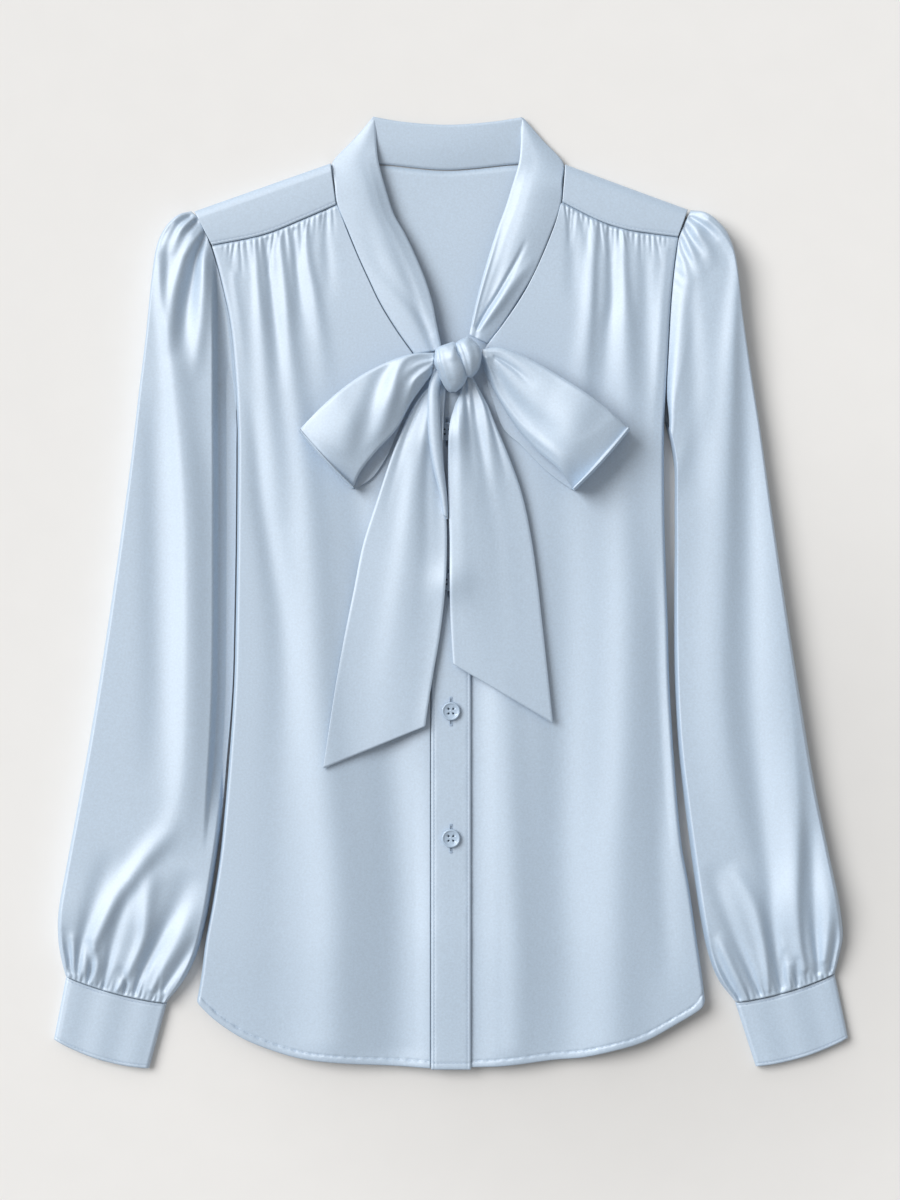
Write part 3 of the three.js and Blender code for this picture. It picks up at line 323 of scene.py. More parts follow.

# Main folds of the fronts: the gathers under the shoulder seam, which run on into the
# long soft folds down the body. Each row is x, y, half width and height.
FRONT_FOLDS = {
    Side.RIGHT: [
        Fold(((-146.5, 261, 2.4, 1.8), (-144.3, 245, 3, 2.2), (-142, 216, 4, 2.2), (-139, 183, 6, 1.8),
              (-135.4, 142, 8, 1.8), (-131, 105, 9, 1.5), (-124, 50, 9, 0))),
        Fold(((-137, 261, 2, -2.2), (-135.4, 245, 2.6, -2.4), (-132.5, 216, 3.4, -1.8),
              (-129, 183, 5, -1), (-126, 150, 6, 0))),
        Fold(((-127.3, 264, 2.4, 2), (-125, 245, 3, 2.4), (-122, 216, 4.4, 2.4), (-119.5, 185, 6, 2.2),
              (-116.5, 155, 8, 2), (-111.5, 118, 10, 2.2), (-105.5, 68, 12, 2.6), (-100.6, -6, 14, 2.8),
              (-96.9, -80, 15, 3), (-91, -154, 17, 3.4), (-85, -228, 19, 3.6), (-87, -330, 20, 3.2))),
        Fold(((-116.2, 268, 2, -2), (-114.7, 245, 2.8, -2.2), (-111.7, 216, 4, -1.2), (-108, 185, 6, 0))),
        Fold(((-108, 272, 2.4, 1.8), (-105.8, 245, 3.4, 2), (-101.4, 222, 4.4, 1.8), (-97, 190, 6, 1.2),
              (-92, 142, 9, 0))),
        Fold(((-93.2, 283, 2.4, -1.8), (-91.6, 250, 4, -1.2), (-89.5, 215, 6, 0))),
        Fold(((-149, 150, 5, 0), (-144, 110, 6, -1.2), (-140, 68, 7, -1.8), (-133, 24, 8, -2),
              (-126, -22, 10, -1.8), (-124, -80, 12, -1.4), (-126, -140, 14, -0.9),
              (-128, -228, 16, -0.7), (-130, -330, 18, -0.6))),
        Fold(((-80, 130, 10, 0), (-74, 95, 12, -1.2), (-66, 40, 14, -1.8), (-58, -6, 16, -2.4),
              (-50, -80, 18, -3.2), (-42, -154, 19, -4.2), (-37, -228, 20, -4.4), (-38, -335, 20, -3.6))),
        Fold(((-161, 235, 3, 0.8), (-158, 200, 5, 0.8), (-154, 150, 6, 0))),
    ],
    Side.LEFT: [
        Fold(((107, 276, 2.4, 2.2), (105, 246, 4, 2.4), (103.6, 216, 5, 2.2), (101.4, 187, 6, 1.8),
              (98, 150, 8, 0.8), (94, 110, 9, 0)), lean=0.25),
        Fold(((89.5, 280, 3, -1.4), (90.3, 245, 5, -1), (90, 210, 6, 0))),
        Fold(((118.4, 273, 2.2, -2.2), (118.4, 245, 3.2, -2.4), (118.8, 216, 4.4, -2.2),
              (116, 194, 5.5, -1.6), (113, 160, 7, -0.8), (108, 120, 8, 0))),
        Fold(((128, 272, 2.2, 1.8), (128, 245, 3, 2.2), (128.8, 223, 4, 2.2), (129.5, 200, 6, 2.2),
              (130.2, 170, 8, 2), (132, 128, 10, 1.2), (130, 90, 11, 0.8), (129, 54, 12, 1.4),
              (131, -20, 14, 2.6), (128.8, -124, 15, 3), (125, -198, 17, 3), (123, -330, 18, 2.6))),
        Fold(((142, 270, 3, -1.4), (143.6, 245, 4.6, -1.6), (144.3, 216, 6, -1.6), (144.3, 187, 7, -1.2),
              (146, 140, 8, 0))),
        Fold(((160.6, 254, 3, 1), (158.4, 216, 5, 1.4), (155.5, 170, 6, 1.2), (152, 120, 8, 0.4),
              (150, 80, 9, 0))),
        Fold(((34, 80, 12, 0), (38, -30, 12, 1.2), (42.2, -109, 12, 1.8), (45, -198, 13, 2.2),
              (48, -272, 13, 2.2), (48, -335, 13, 2))),
        Fold(((80, 110, 14, 0), (83, 60, 15, -1), (84.4, -20, 16, -1.8), (83, -109, 16, -2.6),
              (82, -198, 17, -2.8), (84.4, -272, 18, -2.6), (84.4, -335, 18, -2.2))),
        Fold(((152, 40, 8, 0), (155, -40, 9, -1.2), (157.6, -124, 10, -1.6), (156, -198, 10, -1.6),
              (159, -257, 10, -1.2), (162, -300, 10, 0))),
    ],
}

# Folds of the sleeves in the same form: pleats at the head, the long folds of the arm and the
# gathers that run into the cuff
SLEEVE_FOLDS = {
    Side.RIGHT: [
        Fold(((-181, 266.5, 1.8, -3.6), (-185, 258.6, 3, -5.6), (-189.4, 246, 4, -6),
              (-192.4, 230, 5, -5.2), (-196, 212, 6.5, -4.4), (-199, 190, 7, -2.56),
              (-200.5, 168, 7, 0))),
        Fold(((-178.3, 257, 3, 1.2), (-181.3, 244, 4, 2.4), (-182.6, 223, 4.6, 2.56),
              (-184.3, 200, 5, 2.08), (-187, 178, 5, 1.28), (-190, 155, 6, 0))),
        Fold(((-191, 262, 3, 0.8), (-196.5, 250, 4, 2.4), (-202.5, 228, 5, 2.72), (-205, 202, 6, 1.92),
              (-206, 175, 7, 0))),
        Fold(((-215.3, 250, 4, 0.8), (-214.6, 235, 5, 1.92), (-212.4, 214, 6.5, 2.4),
              (-207.5, 187, 8, 2.88), (-202.5, 142, 10, 3.68), (-198, 98, 11, 4.48), (-195, 54, 12, 4.8),
              (-194, -6, 12, 4.8), (-194, -65, 13, 4.48), (-195.5, -124, 13, 3.68),
              (-199.5, -161, 13, 2.4), (-206, -195, 12, 0)), lean=-0.2),
        Fold(((-209.4, 254, 3, -0.8), (-210.4, 232, 3.4, -1.12), (-209.6, 210, 4, -0.64),
              (-208.5, 196, 4, 0))),
        Fold(((-188, 275, 1.8, -3.6), (-193.9, 268.3, 2.6, -2.72), (-199, 261, 3.4, -0.64))),
        Fold(((-184, 269, 1.6, 1.6), (-188, 261, 2.2, 1.76), (-193, 251, 3, 0.8))),
        Fold(((-193.1, 278.6, 1.8, -2.4), (-202, 271.2, 2.6, -2.08), (-208.5, 260, 3.4, -0.64))),
        Fold(((-190.9, 276.4, 1.8, 1.28), (-199.1, 266.8, 2.6, 1.6), (-205, 253, 3.4, 0.64))),
        Fold(((-206.5, 272.7, 2, -1.28), (-213.9, 260.9, 2.4, -1.44), (-217, 250, 3, 0))),
        Fold(((-221, 150, 7, 0), (-219, 98, 9, -1.28), (-217.6, 0, 10, -1.6), (-217, -90, 11, -1.28),
              (-221, -150, 11, 0))),
        Fold(((-208, -172, 8, 0.8), (-213, -182, 8, 2.4), (-225.7, -197, 7, 3.68), (-236.8, -212, 6.4, 4),
              (-248, -229, 6, 3.68), (-257.5, -247, 5, 3.2), (-265.7, -265, 4, 2.72),
              (-271.6, -281, 3, 2.08)), lean=0.1),
        Fold(((-246, -190, 9, 0), (-256, -208, 8, -1.28), (-264.5, -230, 6.5, -1.76),
              (-270.8, -250, 4.5, -2.4), (-275.4, -268, 3, -2.4), (-277.4, -281, 2, -1.92))),
        Fold(((-285, -252, 4, -0.8), (-283.4, -265, 3, -2.72), (-281.4, -280.8, 2, -2.08))),
        Fold(((-279.5, -256, 3, 0.8), (-278.8, -270, 2.4, 1.6), (-279, -281, 1.8, 1.28))),
        Fold(((-236, -214, 7, 0), (-241.2, -226, 6, -1.92), (-246.4, -243, 5.6, -2.4),
              (-251, -261, 4.4, -2.72), (-254, -276, 3, -2.72), (-257.5, -293, 2, -1.92))),
        Fold(((-267.6, -256, 3, 0), (-267.2, -268, 3, -2.4), (-267, -279, 2.4, -2.4),
              (-268.6, -287, 1.8, -1.6))),
        Fold(((-262.4, -264, 2.6, 0.8), (-261.6, -276, 2.4, 1.76), (-265.7, -289, 1.8, 1.28))),
        Fold(((-217, -204, 8, 0), (-222.7, -217, 7, 2.4), (-225, -239, 5.6, 3.2),
              (-227.4, -256, 4.4, 3.04), (-236, -276, 3.4, 2.4), (-246.4, -294, 2, 1.76))),
        Fold(((-192, -205, 9, 0), (-197, -218, 9, -1.6), (-204, -233, 8, -2.56), (-212, -248, 6, -3.68),
              (-221, -266, 4.6, -4.32), (-228, -280, 3.4, -3.84), (-234.6, -296, 2.2, -2.4))),
        Fold(((-192, -238, 7, 0.8), (-200.5, -257, 6, 2.56), (-211.6, -276, 4, 2.4),
              (-221.3, -294, 2.4, 1.6))),
        Fold(((-190, -258, 4, -0.8), (-200.5, -275, 3.6, -2.08), (-213.1, -294, 2.4, -2.08))),
        Fold(((-243.5, -280, 3, -0.8), (-241, -288, 2.4, -2.08), (-241.5, -296, 1.8, -1.6))),
    ],
    Side.LEFT: [
        Fold(((177, 278, 1.6, -2.72), (186.5, 271.2, 2.2, -2.4), (195, 263, 3, -0.64))),
        Fold(((172.4, 271, 1.5, -2.4), (178.3, 261, 2.2, -2.08), (184.5, 251, 3, -0.48))),
        Fold(((169.5, 261, 1.6, -1.92), (174, 250.5, 2.2, -1.76), (178.5, 238, 3, -0.32))),
        Fold(((174.6, 275, 1.8, 1.44), (182.8, 264, 2.8, 1.76), (190.2, 252, 4, 1.12), (194, 238, 5, 0))),
        Fold(((171, 266, 1.6, 1.28), (175.4, 255, 2.4, 1.44), (181.5, 243, 3.4, 0.64), (185, 228, 4, 0))),
        Fold(((167.8, 255, 1.6, 0.96), (171.4, 243, 2.4, 1.12), (175, 228, 3.4, 0.32))),
        Fold(((190, 275, 2, 1.28), (200.5, 264.4, 3, 1.92), (209.4, 249, 3, 1.92), (211.4, 238, 4, 1.28),
              (209.6, 216, 5, 1.6), (208, 187, 6, 2.24), (206.6, 150, 8, 2.56), (204.4, 113, 10, 2.56),
              (202, 68, 12, 2.56), (200.4, 24, 13, 2.4), (198.6, -35, 13, 2.24), (199.5, -80, 13, 2.08),
              (203, -124, 13, 1.76), (210, -168, 12, 0.8), (215, -195, 10, 0)), lean=0.2),
        Fold(((179, 236, 5, 0), (178, 205, 6, -1.44), (179, 160, 8, -1.44), (180, 110, 9, -0.96),
              (180, 60, 10, 0))),
        Fold(((215, 190, 6, 0), (217.6, 142, 8, -1.12), (219, 98, 9, -1.92), (219.8, 54, 10, -2.24),
              (220, -6, 11, -2.24), (221, -80, 11, -2.24), (226.4, -139, 10, -2.4), (231, -183, 9, -2.4),
              (234.8, -213, 8, -2.56), (237, -240, 6, -3.04), (240, -262, 4.4, -3.52),
              (242.6, -281, 3, -3.36), (244.2, -296, 2, -2.08))),
        Fold(((236, 110, 10, 0), (240, 54, 12, 1.12), (246, -35, 12, 1.76), (251.5, -100, 11, 2.24),
              (255, -150, 10, 3.2), (255.4, -190, 8, 4), (255, -228, 6.4, 4), (257.4, -257, 4.4, 3.2),
              (262, -278, 3, 2.08)), lean=0.3),
        Fold(((266, -165, 6, 0), (267, -192, 6, -2.08), (267.9, -228, 5.2, -2.88),
              (270, -257, 3.6, -3.36), (272.3, -281, 2.2, -2.4))),
        Fold(((279, -200, 6, 0), (280, -228, 5, 1.28), (279, -250, 4, 1.76), (276.2, -272, 2.6, 1.6))),
        Fold(((285.6, -246, 4, -0.8), (284.4, -262, 3, -2.72), (281.2, -280, 2, -2.24))),
        Fold(((192, -200, 8, 0), (196, -215, 7, -1.44), (203, -236, 6, -1.76), (212.4, -260, 4.6, -2.4),
              (221.3, -280, 3.4, -3.04), (228.7, -297, 2, -2.08))),
        Fold(((207, -200, 7, 0), (214, -213, 6, 1.44), (224, -232, 5.4, 2.4), (230, -256, 4, 2.72),
              (233.6, -279, 2.8, 2.4), (235.3, -294, 2, 1.6))),
        Fold(((193, -258, 4, -0.8), (197, -270, 3.6, -2.4), (205.6, -287, 2.8, -2.88),
              (213.9, -301, 1.8, -1.92))),
        Fold(((196, -252, 5, 0), (202, -265, 4, 1.92), (211.6, -285, 3, 2.08), (219, -301, 1.8, 1.44))),
        Fold(((246.6, -262, 2.4, 0), (245.8, -275, 2.2, -1.76), (246.6, -292, 1.6, -1.6))),
        Fold(((256, -272, 2.4, -0.8), (256.4, -284, 2, -2.08), (256.8, -292, 1.6, -1.6))),
        Fold(((251, -276, 2.4, 0.8), (251.4, -292, 1.8, 1.28))),
    ],
}

# Beside the body the right sleeve is pressed into a low panel, as far as a long upright crease
PANEL_CREASE = PlanCurve([
    (-176.5, 262), (-176.2, 150), (-176, 30), (-177, -80), (-181, -150), (-186, -215),
])
PANEL_SLOPE = 4.0
PANEL_FADES = (-120.0, -195.0)


def pressed_share(x: Array, y: Array) -> Array:
    """How far the right sleeve is pressed down into the panel, from 0 to 1."""
    beyond = x - PANEL_CREASE.x_at(y)
    return smoothstep(beyond, -0.5, PANEL_SLOPE - 0.5) * smoothstep(y, PANEL_FADES[1], PANEL_FADES[0])


def seam_level(x: Array, side: Side) -> Array:
    """The level in plan of a front's gathered seam."""
    samples = CURVES[side]["yoke_seam"].samples
    order = np.argsort(samples[:, 0])
    return np.interp(x, samples[order, 0], samples[order, 1])


def armhole_height(y: Array) -> Array:
    """Height of the armhole seam, which comes down to the back at the underarm."""
    return SIDE_EDGE + (YOKE_TOP - 0.8 - SIDE_EDGE) * quarter_round((y - UNDERARM) / 55)


def front_top(x: Array, y: Array, side: Side) -> Array:
    """Top of the front cloth at points in plan."""
    inward = np.abs(EDGES[side].x_at(y)) - np.abs(x)
    crown = lerp(TORSO_CROWN, HEM_CROWN, smoothstep(-y, 250, 350))
    shoulder_fall = (TORSO_CROWN - YOKE_TOP) * smoothstep(y, 200, 270)
    edge = np.where(y > UNDERARM, armhole_height(y), SIDE_EDGE)
    level = lerp(edge, crown - shoulder_fall, quarter_round(inward / SIDE_ROLL))
    clear = smoothstep(inward, 0, 10) * smoothstep(np.abs(x), 1, PLACKET_HALF + 13)
    below = seam_level(x, side) - y
    under_seam = 0.25 + 0.3 * smoothstep(below, -1, 7) + 0.45 * smoothstep(below, 10, 70)
    return level + fold_height(FRONT_FOLDS[side], x, y) * clear * under_seam


def lay_top(x: Array, y: Array) -> Array:
    """The level that whatever lies on the front clears: cloth or button band."""
    x, y = np.asarray(x, float), np.asarray(y, float)
    right, left = front_top(x, y, Side.RIGHT), front_top(x, y, Side.LEFT)
    return np.where(x < 0, right, left) + PLACKET_RISE + SEAM


def offset_line(curve: PlanCurve, inward: float, start: float, end: float) -> Array:
    """Points at a distance above a hem curve, between two shares of its length."""
    share = np.linspace(start, end, 160)
    line = curve.at(share)
    run = np.gradient(line, axis=0)
    normal = np.stack([-run[:, 1], run[:, 0]], axis=-1) / np.linalg.norm(run, axis=1)[:, None]
    return line + normal * np.sign(normal[:, 1:2]) * inward


def linked(name: str, bm: bmesh.types.BMesh) -> bpy.types.Object:
    """An object from a mesh being built, linked to the scene."""
    mesh = bpy.data.meshes.new(name)
    bm.to_mesh(mesh)
    bm.free()
    piece = bpy.data.objects.new(name, mesh)
    bpy.context.scene.collection.objects.link(piece)
    return piece


def declare(piece: bpy.types.Object) -> None:
    """Fastens an added piece, such as stitches, to the blouse."""
    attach(piece, BODY)
    log.info("%s: %d faces", piece.name, len(piece.data.polygons))


def cloth_lengths(points: Array) -> Array:
    """Distances along a grid's rows and down its columns, in metres, for the weave."""
    across = np.linalg.norm(np.diff(points, axis=1), axis=2)
    down = np.linalg.norm(np.diff(points, axis=0), axis=2)
    u = np.concatenate([np.zeros((len(points), 1)), np.cumsum(across, axis=1)], axis=1)
    v = np.concatenate([np.zeros((1, points.shape[1])), np.cumsum(down, axis=0)], axis=0)
    return np.stack([u, v], axis=-1) * MM


def grid_mesh(bm: bmesh.types.BMesh, points: Array, ring: bool) -> None:
    """Adds a grid of outer points to a mesh being built.

    Args:
        bm: the mesh.
        points: rows by columns by 3, in millimetres.
        ring: whether each row closes on itself.
    """
    if ring:
        points = np.concatenate([points, points[:, :1]], axis=1)
    rows, columns = points.shape[:2]
    weave = bm.loops.layers.uv.verify()
    made = bmesh.ops.create_grid(bm, x_segments=columns - 1, y_segments=rows - 1, size=1.0)
    lengths = cloth_lengths(points)
    cells = {}
    for vert in made["verts"]:
        column = round((vert.co.x + 1) / 2 * (columns - 1))
        row = round((vert.co.y + 1) / 2 * (rows - 1))
        cells[vert] = (row, column)
    for face in {face for vert in made["verts"] for face in vert.link_faces}:
        for loop in face.loops:
            loop[weave].uv = lengths[cells[loop.vert]]
    for vert, cell in cells.items():
        vert.co = points[cell] * MM
    if ring:
        bmesh.ops.remove_doubles(bm, verts=made["verts"], dist=1e-7)


def shell(name: str, grids: Sequence[Array], wall: float, ring: bool, up: bool) -> bpy.types.Object:
    """A smooth shell of cloth.

    Args:
        name: the object's name.
        grids: grids of outer points in millimetres.
        wall: the cloth's thickness in millimetres, laid inwards.
        ring: whether the rows close on themselves.
        up: whether the outer face is the upper one, or else the one away from the middle.

    Returns:
        The object, linked to the scene.
    """
    bm = bmesh.new()
    for points in grids:
        grid_mesh(bm, points, ring)
    bmesh.ops.recalc_face_normals(bm, faces=bm.faces)
    middle = sum((vert.co for vert in bm.verts), Vector()) / len(bm.verts)
    vote = 0.0
    for face in bm.faces:
        outward = Vector((0, 0, 1)) if up else face.calc_center_median() - middle
        vote += face.normal.dot(outward) * face.calc_area()
        face.smooth = True
    if vote < 0:
        bmesh.ops.reverse_faces(bm, faces=bm.faces)
    piece = linked(name, bm)
    piece.data.uv_layers[0].name = "weave"
    solidify = piece.modifiers.new("cloth", "SOLIDIFY")
    solidify.thickness = wall * MM
    solidify.offset = -1.0
    return piece


def coons(
    top: PlanCurve, foot: PlanCurve, side: PlanCurve, centre: PlanCurve, downs: Array, acrosses: Array
) -> Array:
    """A patch in plan between four curves.

    Args:
        top, foot: its upper and lower curves, from side to centre.
        side, centre: its two others, from top to foot.
        downs: where the rows lie along side and centre, from 0 to 1.
        acrosses: where the columns lie along top and foot, from 0 to 1.

    Returns:
        The points, rows by columns by two.
    """
    v, u = downs[:, None, None], acrosses[None, :, None]
    ruled_across = side.at(downs)[:, None] * (1 - u) + centre.at(downs)[:, None] * u
    ruled_down = top.at(acrosses)[None] * (1 - v) + foot.at(acrosses)[None] * v
    upper_corners = top.at(0) * (1 - u) * (1 - v) + top.at(1) * u * (1 - v)
    corners = upper_corners + foot.at(0) * (1 - u) * v + foot.at(1) * u * v
    return ruled_across + ruled_down - corners


def with_depth(plan: Array, height: Array) -> Array:
    """Points from a plan grid and their heights."""
    return np.concatenate([plan, height[..., None]], axis=-1)


class NodeGraph:
    """A short way to lay out a material's nodes."""

    def __init__(self, name: str) -> None:
        """Starts an empty material."""
        self.material = bpy.data.materials.new(name)
        self.material.use_nodes = True
        self.tree = self.material.node_tree
        self.shader = self.tree.nodes["Principled BSDF"]
        self.place = self.node("ShaderNodeTexCoord").outputs["Object"]

    def node(self, kind: str, **settings: object) -> bpy.types.Node:
        """Adds a node and sets its properties or, by name, its inputs."""
        made = self.tree.nodes.new(kind)
        for name, value in settings.items():
            if hasattr(made, name):
                setattr(made, name, value)
            else:
                made.inputs[name.replace("_", " ").title()].default_value = value
        return made

    def link(self, source: bpy.types.NodeSocket, target: bpy.types.NodeSocket) -> None:
        """Joins two sockets."""
        self.tree.links.new(source, target)

    def noise(self, **settings: float) -> bpy.types.NodeSocket:
        """A cloudy pattern fixed to the object."""
        clouds = self.node("ShaderNodeTexNoise", **settings)
        self.link(self.place, clouds.inputs["Vector"])
        return clouds.outputs["Fac"]

    def mix(
        self, share: bpy.types.NodeSocket, dark: Sequence[float], light: Sequence[float]
    ) -> bpy.types.NodeSocket:
        """A colour between two by a share."""
        mixer = self.node("ShaderNodeMix", data_type="RGBA")
        mixer.inputs["A"].default_value = (*dark, 1)
        mixer.inputs["B"].default_value = (*light, 1)
        self.link(share, mixer.inputs["Factor"])
        return mixer.outputs["Result"]

    def scaled(
        self, colour: bpy.types.NodeSocket, share: bpy.types.NodeSocket, **limits: object
    ) -> bpy.types.NodeSocket:
        """A colour made darker or lighter by a share that is first mapped between limits."""
        level = self.node("ShaderNodeMapRange", **limits)
        self.link(share, level.inputs["Value"])
        scale = self.node("ShaderNodeVectorMath", operation="SCALE")
        self.link(colour, scale.inputs["Vector"])
        self.link(level.outputs["Result"], scale.inputs["Scale"])
        return scale.outputs["Vector"]

    def finish(self, colour: bpy.types.NodeSocket, inputs: dict[str, object]) -> bpy.types.Material:
        """Gives the shader its colour and its other inputs."""
        self.link(colour, self.shader.inputs["Base Color"])
        for name, value in inputs.items():
            self.shader.inputs[name].default_value = value
        return self.material


@dataclass(frozen=True)
class SatinFinish:
    """Pale blue satin with a fine weave and a soft, broad shine."""

    name: str = "satin"
    shade: tuple[float, float, float] = (0.385, 0.51, 0.655)
    depth: float = 0.93
    grain: float = 0.09
    roughness: float = 0.62
    specular: float = 1.0
    density: float = 2.1
    sheen: float = 0.1
    thread: float = 0.00045
    weave_height: float = 0.00002
    drift: float = 0.0001

    def material(self) -> bpy.types.Material:
        """Builds the satin."""
        graph = NodeGraph(self.name)
        graph.link(self.relief(graph), graph.shader.inputs["Normal"])
        return graph.finish(self.colour(graph), {
            "Roughness": self.roughness,
            "Specular IOR Level": self.specular,
            "IOR": self.density,
            "Sheen Weight": self.sheen,
            "Sheen Roughness": 0.45,
            "Sheen Tint": (0.9, 0.95, 1, 1),
        })

    def colour(self, graph: NodeGraph) -> bpy.types.NodeSocket:
        """A slow drift between two shades, with a fine grain."""
        deep = tuple(channel * self.depth for channel in self.shade)
        tone = graph.mix(graph.noise(scale=14.0, detail=3.0), deep, self.shade)
        specks = graph.noise(scale=620.0, detail=3.0, roughness=0.7)
        limits = {"from_min": 0.3, "from_max": 0.7, "to_min": 1 - self.grain, "to_max": 1 + self.grain}
        return graph.scaled(tone, specks, **limits)

    def relief(self, graph: NodeGraph) -> bpy.types.NodeSocket:
        """The weave's threads over a faint unevenness."""
        uv = graph.node("ShaderNodeUVMap", uv_map="weave")
        threads = graph.node("ShaderNodeTexWave", scale=1 / self.thread / 20, distortion=1.2, detail=1.0)
        graph.link(uv.outputs["UV"], threads.inputs["Vector"])
        fine = graph.node("ShaderNodeBump", strength=0.25, distance=self.weave_height)
        graph.link(threads.outputs["Fac"], fine.inputs["Height"])
        soft = graph.node("ShaderNodeBump", strength=0.4, distance=self.drift)
        graph.link(graph.noise(scale=420.0, detail=2.0), soft.inputs["Height"])
        graph.link(fine.outputs["Normal"], soft.inputs["Normal"])
        return soft.outputs["Normal"]


@dataclass(frozen=True)
class PlainFinish:
    """One colour with its gloss, for buttons and thread."""

    name: str
    shade: tuple[float, float, float]
    roughness: float
    specular: float = 0.5
    coat: float = 0.0

    def material(self) -> bpy.types.Material:
        """Builds the finish."""
        graph = NodeGraph(self.name)
        return graph.finish(self.colour(graph), {
            "Roughness": self.roughness,
            "Specular IOR Level": self.specular,
            "Coat Weight": self.coat,
        })

    def colour(self, graph: NodeGraph) -> bpy.types.NodeSocket:
        """The shade with a faint drift."""
        deep = tuple(channel * 0.97 for channel in self.shade)
        return graph.mix(graph.noise(scale=30.0, detail=2.0), deep, self.shade)


@dataclass(frozen=True)
class SurfaceFinish(PlainFinish):
    """The pale surface under the blouse, softly darker round one spot as the photo's is: a painted soft
    shadow.
    """

    # Painted shadow: its middle, the reach over which it fades, and how dark it is
    shadow_spot: Pair = (0.14, -0.2)
    shadow_reach: Pair = (0.08, 0.42)
    shadow_level: float = 0.84

    def colour(self, graph: NodeGraph) -> bpy.types.NodeSocket:
        """The plain colour, scaled down near the spot as painted shadow."""
        reach = graph.node("ShaderNodeVectorMath", operation="DISTANCE")
        reach.inputs[1].default_value = (*self.shadow_spot, 0)
        graph.link(graph.place, reach.inputs[0])
        near, far = self.shadow_reach
        limits = {"from_min": near, "from_max": far, "to_min": self.shadow_level, "to_max": 1.0}
        tone = super().colour(graph)
        return graph.scaled(tone, reach.outputs["Value"], interpolation_type="SMOOTHSTEP", **limits)


SATIN = SatinFinish()
BUTTON = PlainFinish("button", (0.42, 0.53, 0.66), 0.28, coat=0.3)
THREAD = PlainFinish("thread", (0.4, 0.5, 0.63), 0.6, specular=0.3)
# Painted shade: the dark colour of the discs under the buttons' holes and of the strips in the buttonholes'
# slits
SHADE = PlainFinish("shade", (0.1, 0.13, 0.17), 0.8, specular=0.1)
# The surface's colour carries a painted soft shadow round one spot near the blouse
FLOOR = SurfaceFinish("surface", (0.8, 0.79, 0.775), 0.8, specular=0.2)
_materials: dict[str, bpy.types.Material] = {}


def coated(piece: bpy.types.Object, finish: SatinFinish | PlainFinish) -> bpy.types.Object:
    """Gives a piece its finish."""
    if finish.name not in _materials:
        _materials[finish.name] = finish.material()
    piece.data.materials.clear()
    piece.data.materials.append(_materials[finish.name])
    return piece


@dataclass(frozen=True)
class Cut:
    """The flat cut of a piece of cloth, in metres, and how it lies."""

    width: float
    length: float
    area: float | None
    held: Held
    rests_on: tuple[str, ...]


@dataclass
class ClothPiece:
    """A sewn piece of satin that stands for a node."""

    node: str
    cut: Cut
    wall: float = SINGLE
    ring: bool = False
    up: bool = True

    def grids(self) -> list[Array]:
        """Outer points of the piece."""
        raise NotImplementedError

    def build(self) -> bpy.types.Object:
        """Makes the shell."""
        return shell(f"cloth_{self.node}", self.grids(), self.wall, self.ring, self.up)

    def stitch_lines(self) -> list[Array]:
        """Lines on the piece that rows of stitches follow."""
        return []

    def dress(self) -> bpy.types.Object:
        piece = coated(self.build(), SATIN)
        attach(piece, BODY)
        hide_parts(self.node)
        log.info("%s: %d faces", piece.name, len(piece.data.polygons))
        return piece


@dataclass
class SidedPiece(ClothPiece):
    """A sewn piece that the blouse has on both sides."""

    @property
    def side(self) -> Side:
        """The wearer's side, which the node's name ends with."""
        return Side(self.node.rsplit("_", 1)[-1])


@dataclass
class Back(ClothPiece):
    """The back: flat on the surface, seen through the neck and beside the sleeves."""

    top: float = 1.45
    columns: int = 110
    levels: Pair = (262.0, -303.0)

    def grids(self) -> list[Array]:
        """A grid between the two side edges, from the neck to the hem."""
        neck = PlanCurve([
            (-190.9, 270.6), (-181, 268.8), (-139.9, 284), (-86, 300.5), (-80, 317.6), (-52.5, 317.6),
            (-3, 313.4), (48.8, 317.6), (76, 317.6), (82, 300.5), (130.2, 284), (169.4, 267.2),
        ])
        foot = PlanCurve([*OUTLINE[Side.RIGHT]["hem"], *OUTLINE[Side.LEFT]["hem"][::-1]])
        share = np.linspace(0, 1, self.columns)
        right, left = EDGES[Side.RIGHT], EDGES[Side.LEFT]
        rows = []
        for t in graded((30, 3), (540, 5), (12, 1)):
            level = lerp(*self.levels, t)
            ends = (float(right.x_at(level)), float(left.x_at(level)))
            x = lerp(ends[0], ends[1], share)
            top_y = np.interp(x, neck.samples[:, 0], neck.samples[:, 1])
            foot_y = np.interp(x, foot.samples[:, 0], foot.samples[:, 1])
            y = level + (top_y - self.levels[0]) * (1 - t) ** 6 + (foot_y - self.levels[1]) * t**6
            rows.append(np.stack([x, y], axis=-1))
        plan = np.array(rows)
        x, y = plan[..., 0], plan[..., 1]
        ripple = 0.25 * np.sin(x / 37 + 1.1 * np.sin(y / 90)) + 0.2 * np.sin(y / 61 + x / 140)
        return [with_depth(plan, self.top + ripple * smoothstep(175 - np.abs(x), 0, 30))]


